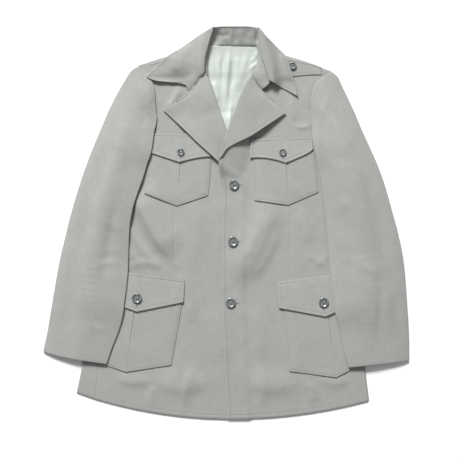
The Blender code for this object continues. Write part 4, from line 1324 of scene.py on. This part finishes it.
def make_collar(rows):
    """Leaf of the collar: on the shoulders in front, folded round and behind the neck.

    The front part rises from the cloth under it by the roll, as a bell curve of the
    distance from it, and by the free edge's rise times a power of the share of the
    way to that edge. Behind the neck it turns down in half an ellipse and lies on
    the table.
    """
    fold_first, fold_last, behind_first, behind_last = (
        row_of(rows, COLLAR_LEAF[k]) for k in (FOLD_FIRST, FOLD_LAST, BEHIND_FIRST, BEHIND_LAST))
    roll, edge, behind = rows[:, 0:2], rows[:, 2:4], rows[:, 4:6]
    along = np.gradient(edge, axis=0)
    inward = np.stack((along[:, 1], -along[:, 0]), axis=1)
    inward /= np.linalg.norm(inward, axis=1)[:, None]
    at, rolls, frees = np.array(COLLAR_RISE).T
    share = share_along(edge)
    lift = np.interp(share, at, rolls)
    free = np.interp(share, at, frees)
    steps = np.arange(len(rows))
    back = np.clip(1 - np.maximum(behind_first - steps, steps - behind_last) / 6, 0, 1)
    ease = between(np.minimum(steps - fold_first, fold_last - steps), 0, 9)
    reach_out = ROLL_REACH * eased(ease)
    start = edge + inward * reach_out[:, None]
    width = np.linalg.norm(start - roll, axis=1)[:, None]
    marks = 1 - np.array(stitch_marks(COLLAR_STITCH)) / USUAL_LEAF
    v = with_marks(evenly(0, 1, LEAF_STEP), marks, gap=0.2 * LEAF_STEP)
    front = roll[:, None, :] * (1 - v[None, :, None]) + start[:, None, :] * v[None, :, None]
    x, y = front[..., 0], front[..., 1]
    away = width * (1 - v)
    tail = distances(x, y)["last"]
    near = np.minimum(away + FOLD_AWAY * (ease ** 2)[:, None], tail)
    relief = creases(x, y, COLLAR_CREASES) + turned_edge(near, COLLAR_STITCH) + ripple(x, y, "collar")
    relief *= 1 - ease[:, None] * (1 - between(away, -2, 6))
    from_roll = width * v
    shape = lift[:, None] * bell(from_roll, ROLL_WIDTH) + free[:, None] * v ** LIFT_POWER
    shape -= ROLL_FALL * np.exp(-from_roll / FALL_REACH) * (1 - ease)[:, None]
    rest = pile.rest(UNDER_COLLAR, x, y, slope=LEAF_SLOPE, soft=5)
    height = capped(rest + relief + shape + CLOTH, COLLAR_TOP)
    blend = back[:, None] * between(v, 0.6, 1.0) ** 2
    height = height * (1 - blend) + STAND_TOP * blend
    grid = np.dstack((front, height))
    edge_line = line_at(grid, away, COLLAR_STITCH)
    end_line = line_at(grid.swapaxes(0, 1), tail.T, COLLAR_STITCH)
    stitch_lines.extend((edge_line[4:fold_first], edge_line[fold_last:-3], end_line[3:-3]))
    turn = np.radians(np.linspace(90, -90, 9))[1:-1]
    arc = np.zeros((len(rows), len(turn), 3))
    arc[..., :2] = start[:, None, :] - inward[:, None, :] * (reach_out[:, None] * np.cos(turn))[..., None]
    arc[..., 2] = height[:, -1:] / 2 * (1 + np.sin(turn))
    under = np.pad(behind_neck(start, behind), ((0, 0), (0, 0), (0, 1)))
    rolled = curl(grid, np.minimum(lift + CLOTH + 1.0, grid[:, 0, 2] - CLOTH))
    extra, front_columns = rolled.shape[1] - grid.shape[1], rolled.shape[1]
    full = np.concatenate((rolled, arc, under), axis=1)
    # painted shade along the collar's stitching
    shade_and_wear = -bell(near - COLLAR_STITCH, STITCH_SHADE)
    shade_and_wear = np.pad(shade_and_wear, ((0, 0), (extra, full.shape[1] - front_columns)))
    keep = np.ones((len(rows) - 1, full.shape[1] - 1), bool)
    keep[behind_first:behind_last, :front_columns - 1] = False
    keep[:fold_first, front_columns - 1:] = False
    keep[fold_last:, front_columns - 1:] = False
    mesh = cloth_mesh("collar_leaf", full, CLOTH, shade_and_wear, keep=keep, judge=slice(extra, extra + 12))
    cut = cut_of_collar(roll, edge, behind)
    finish_cloth("collar_leaf", mesh, shaded_collar_finish, cut, ("collar_stand",))


def cut_of_collar(roll, edge, behind):
    """Width, length and area of the collar's cut in metres, its part behind the neck included."""
    spans = np.linalg.norm(edge - roll, axis=1) + np.linalg.norm(edge - behind, axis=1)
    steps = np.diff(run((edge + roll) / 2))
    area = float((steps * (spans[1:] + spans[:-1]) / 2).sum()) * MM * MM
    return spans.max() * MM, run(edge)[-1] * MM, area


def line_at(grid, away, distance):
    """Point on each row of the grid at which a falling measure comes down to the distance."""
    k = np.clip((away > distance).sum(axis=1) - 1, 0, grid.shape[1] - 2)
    row = np.arange(len(grid))
    share = (away[row, k] - distance) / np.maximum(away[row, k] - away[row, k + 1], 1e-6)
    share = np.clip(share, 0, 1)[:, None]
    return grid[row, k] * (1 - share) + grid[row, k + 1] * share


def make_sleeve(side):
    """Sleeve: a tube laid flat, open at armhole and cuff, with a soft crown along its middle.

    Its section goes over the crown, round a half ellipse at one edge, back along
    its underside, and round the other edge. The crown is 1 less a power of the
    distance from the crest, which lies at CREST_SHARE of the width.
    """
    table, folds, bend, more = SLEEVES[side]
    over = ("back", f"front_{side}", f"chest_pocket_{side}", f"chest_flap_{side}",
            f"hip_pocket_{side}", f"hip_flap_{side}", *more)
    rows = resample(table, SLEEVE_STEP)
    outer, inner, bow = rows[:, 0:2], rows[:, 2:4], rows[:, 4:5]
    chord = inner - outer
    width = np.linalg.norm(chord, axis=1)[:, None]
    up = np.stack((-chord[:, 1], chord[:, 0]), axis=1) / width * -bend
    along = share_along(outer)
    at, edges, crowns = SLEEVE_THICKNESS
    thick = np.interp(along, at, edges)[:, None]
    crown = np.interp(along, at, crowns)[:, None]
    share = thick / 2 / width
    over_top = share + (1 - 2 * share) * np.linspace(0, 1, SLEEVE_COLUMNS)
    under = share + (1 - 2 * share) * np.linspace(1, 0, SLEEVE_COLUMNS // 2)
    turn = np.radians((67.5, 45, 22.5, 0, -22.5, -45, -67.5))
    arc = share * (1 - np.cos(turn))
    v = np.concatenate((over_top, 1 - arc, under, arc[:, ::-1]), axis=1)
    crest = over_top ** (math.log(0.5) / math.log(CREST_SHARE))
    ridge = crown * (1 - np.abs(2 * crest - 1) ** CROWN_POWER)
    bulge = (bow * v * (1 - v) * (4 + HEAD_LEAN * (1 - 2 * v)))[..., None] * up[:, None, :]
    plan = outer[:, None, :] + chord[:, None, :] * v[..., None] + bulge
    x, y = plan[..., 0], plan[..., 1]
    over_x, over_y = x[:, :SLEEVE_COLUMNS], y[:, :SLEEVE_COLUMNS]
    base = pile.rest(over, x, y, reach=8, soft=6)
    bridged = pile.rest(over, over_x, over_y, reach=8, slope=FREE_SLOPE, soft=30)
    relief = creases(over_x, over_y, folds) + ripple(over_x, over_y, "sleeve")
    relief *= np.sin(np.pi * np.linspace(0, 1, SLEEVE_COLUMNS)) ** 0.5
    top = np.maximum(bridged + thick + ridge + relief, base[:, :SLEEVE_COLUMNS] + 2 * CLOTH + SEAM)
    top = capped(top, SLEEVE_TOP)
    low = base[:, SLEEVE_COLUMNS + len(turn):-len(turn)]
    pairs = (top[:, -1:], low[:, :1]), (low[:, -1:], top[:, :1])
    inner_edge, outer_edge = ((a + b) / 2 + (a - b) / 2 * np.sin(turn) for a, b in pairs)
    grid = np.dstack((plan, np.concatenate((top, inner_edge, low, outer_edge), axis=1)))
    name = f"sleeve_{side}"
    pile.lay(name, grid[:, :SLEEVE_COLUMNS])
    around = np.hypot(np.diff(grid[..., 0], axis=1), np.diff(grid[..., 2], axis=1)).cumsum(axis=1)
    flat = np.dstack((np.pad(around, ((0, 0), (1, 0))),
                      np.broadcast_to(along[:, None] * SLEEVE_LENGTH, x.shape)))
    mesh = cloth_mesh(name, grid, CLOTH, closed=True, judge=slice(5, 47), flat=flat)
    steps = np.diff(run((outer + inner) / 2))
    area = 2 * float((width[:-1, 0] * steps).sum()) * MM * MM
    cut = 2 * float(width.max()) * MM, run(outer)[-1] * MM, area
    finish_cloth(name, mesh, sleeve_finish, cut, over)


def make_button(name):
    """Button: its profile turned about its axis, closed by a pole in the middle of each face."""
    x, y, size, carrier = BUTTONS[name]
    base = float(pile.rest((carrier,), np.array([x]), np.array([y]), reach=size / 2, soft=2)[0])
    share, height = np.array(BUTTON_PROFILE).T[..., None]
    angle = np.linspace(0, 2 * math.pi, BUTTON_SIDES + 1)[:-1]
    reach = share * size / 2
    rings = np.dstack((x + reach * np.cos(angle), y + reach * np.sin(angle),
                       np.broadcast_to(base + height * BUTTON_HEIGHT, (len(share), BUTTON_SIDES))))
    index = np.arange(len(share) * BUTTON_SIDES).reshape(-1, BUTTON_SIDES)
    after = np.roll(index, -1, axis=1)
    faces = np.stack((index[:-1], index[1:], after[1:], after[:-1]), axis=2).reshape(-1, 4).tolist()
    points = rings.reshape(-1, 3).tolist() + [[x, y, base + BUTTON_MIDDLE * BUTTON_HEIGHT], [x, y, base]]
    top, bottom = len(points) - 2, len(points) - 1
    faces += [[top, a, b] for a, b in zip(index[0].tolist(), after[0].tolist())]
    faces += [[bottom, b, a] for a, b in zip(index[-1].tolist(), after[-1].tolist())]
    finish_piece(name, mesh_of(name, points, faces), button_finish, (name,))
    reach = np.array((0.0, size / 2))[:, None]
    face = np.full((2, BUTTON_SIDES), base + BUTTON_HEIGHT)
    pile.lay(name, np.dstack((x + reach * np.cos(angle), y + reach * np.sin(angle), face)), times=6)
    return base


def topstitches():
    """Middle and heading of every stitch along the kept lines, one pitch apart."""
    for line in stitch_lines:
        reach = run(line)
        at = np.arange(STITCH_PITCH / 2, reach[-1], STITCH_PITCH)
        if len(at) < 2:
            continue
        before, middle, ahead = (
            np.stack([np.interp(at + shift, reach, column) for column in line.T], axis=1)
            for shift in (-1, 0, 1))
        yield middle, ahead - before


def button_stitches(bases):
    """Middle and heading of the threads across each buttonhole, and of the cross in each button."""
    for name, (x, y, size, carrier) in BUTTONS.items():
        if "shoulder" not in name:
            upright = carrier.startswith(("chest", "hip"))
            at = np.arange(HOLE_START * size, size / 2 + HOLE_SHOWS, HOLE_PITCH)
            px, py = (x + 0 * at, y - at) if upright else (x + at, y + 0 * at)
            height = pile.rest((carrier,), px, py, reach=0, soft=1) + 0.1
            heading = (1.0, 0.0, 0.0) if upright else (0.0, 1.0, 0.0)
            yield np.stack((px, py, height), axis=1), np.tile(heading, (len(at), 1))
        middle = (x, y, bases[name] + CROSS_HEIGHT * BUTTON_HEIGHT)
        yield np.array((middle, middle)), np.array(((1.0, 0.4, 0.0), (-0.4, 1.0, 0.0)))


def make_stitches(bases):
    """Every stitch: at each place a spindle, with a point at each end and two rings of points between."""
    places = (*topstitches(), *button_stitches(bases))
    middle, heading = (np.concatenate(part) for part in zip(*places))
    heading /= np.linalg.norm(heading, axis=1, keepdims=True)
    beside = np.cross((0.0, 0.0, 1.0), heading)
    beside /= np.linalg.norm(beside, axis=1, keepdims=True)
    above = np.cross(heading, beside)
    half, thick = STITCH_LENGTH / 2, THREAD / 2
    angle = np.linspace(0, 2 * math.pi, STITCH_SIDES + 1)[:-1]
    round_it = np.stack((0 * angle, thick * np.cos(angle), thick * np.sin(angle)), axis=1)
    shift = (RING_PLACE * half, 0, 0)
    spindle = np.vstack(((-half, 0, 0), round_it - shift, round_it + shift, (half, 0, 0)))
    spindle[:, 2] += thick / 2
    axes = np.stack((heading, beside, above), axis=1)
    points = middle[:, None, :] + spindle @ axes
    near, end = np.arange(1, STITCH_SIDES + 1), 2 * STITCH_SIDES + 1
    near_next, far = np.roll(near, -1), near + STITCH_SIDES
    far_next = near_next + STITCH_SIDES
    triangles = np.concatenate([np.stack(np.broadcast_arrays(*corners), axis=1) for corners in (
        (0, near_next, near), (near, near_next, far_next), (near, far_next, far), (end, far, far_next))])
    faces = triangles[None] + (end + 1) * np.arange(len(middle))[:, None, None]
    mesh = mesh_of("topstitching", points.reshape(-1, 3), faces.reshape(-1, 3).tolist())
    finish_piece("topstitching", mesh, thread_finish)


def make_jacket():
    """Lay every piece in the order in which they rest on each other."""
    leaf = resample(COLLAR_LEAF, SMALL_STEP)
    first, last = (row_of(leaf, COLLAR_LEAF[k]) for k in (FOLD_FIRST, FOLD_LAST))
    strip = behind_neck(leaf[first:last + 1, 2:4], leaf[first:last + 1, 4:6])
    pile.lay("collar_behind", np.pad(strip, ((0, 0), (0, 0), (0, 1)), constant_values=CLOTH))
    make_back()
    make_lining()
    for side in ("right", "left"):
        make_front(side)
        for place in ("chest", "hip"):
            pocket = f"{place}_pocket_{side}"
            make_pocket(pocket, f"front_{side}")
            make_flap(f"{place}_flap_{side}", f"front_{side}", pocket)
        make_lapel(side)
    make_epaulette("right")
    make_epaulette("left")
    make_stand()
    bases = {name: make_button(name) for name in BUTTONS}
    make_collar(leaf)
    make_sleeve("right")
    make_sleeve("left")
    make_stitches(bases)


def add_object(name, data, place=(0.0, 0.0, 0.0)):
    """Put a camera, lamp or mesh in the scene."""
    holder = bpy.data.objects.new(name, data)
    holder.location = place
    bpy.context.scene.collection.objects.link(holder)
    return holder


def make_stage():
    """Pale floor, long lens straight above, one broad light from beyond the neck, and an even pale room."""
    scene = bpy.context.scene
    corners = [(x * FLOOR_HALF, y * FLOOR_HALF, -FLOOR_DROP) for x, y in ((-1, -1), (1, -1), (1, 1), (-1, 1))]
    mesh = mesh_of("floor", corners, [(0, 1, 2, 3)])
    paint = {"Base Color": (0.92, 0.92, 0.93, 1.0), "Roughness": 0.9, "Specular IOR Level": 0.0}
    mesh.materials.append(Finish("floor_white").shade(paint))
    add_object("floor", mesh)
    camera = bpy.data.cameras.new("camera")
    camera.lens = CAMERA_HEIGHT * camera.sensor_width / VIEW_WIDTH
    camera.clip_end = 50.0
    scene.camera = add_object("camera", camera, (*VIEW_CENTRE, CAMERA_HEIGHT + JACKET_MIDDLE))
    light = bpy.data.lights.new("window", "AREA")
    light.size = LIGHT_SIDE
    light.energy = LIGHT_POWER
    lamp = add_object("window", light, LIGHT_PLACE)
    lamp.rotation_euler = (-Vector(LIGHT_PLACE)).to_track_quat("-Z", "Y").to_euler()
    world = bpy.data.worlds.new("room")
    world.use_nodes = True
    background = world.node_tree.nodes["Background"]
    background.inputs["Color"].default_value = (1.0, 1.0, 1.0, 1.0)
    background.inputs["Strength"].default_value = WORLD_LIGHT
    scene.world = world
    scene.view_settings.view_transform = "Standard"


make_jacket()
make_stage()
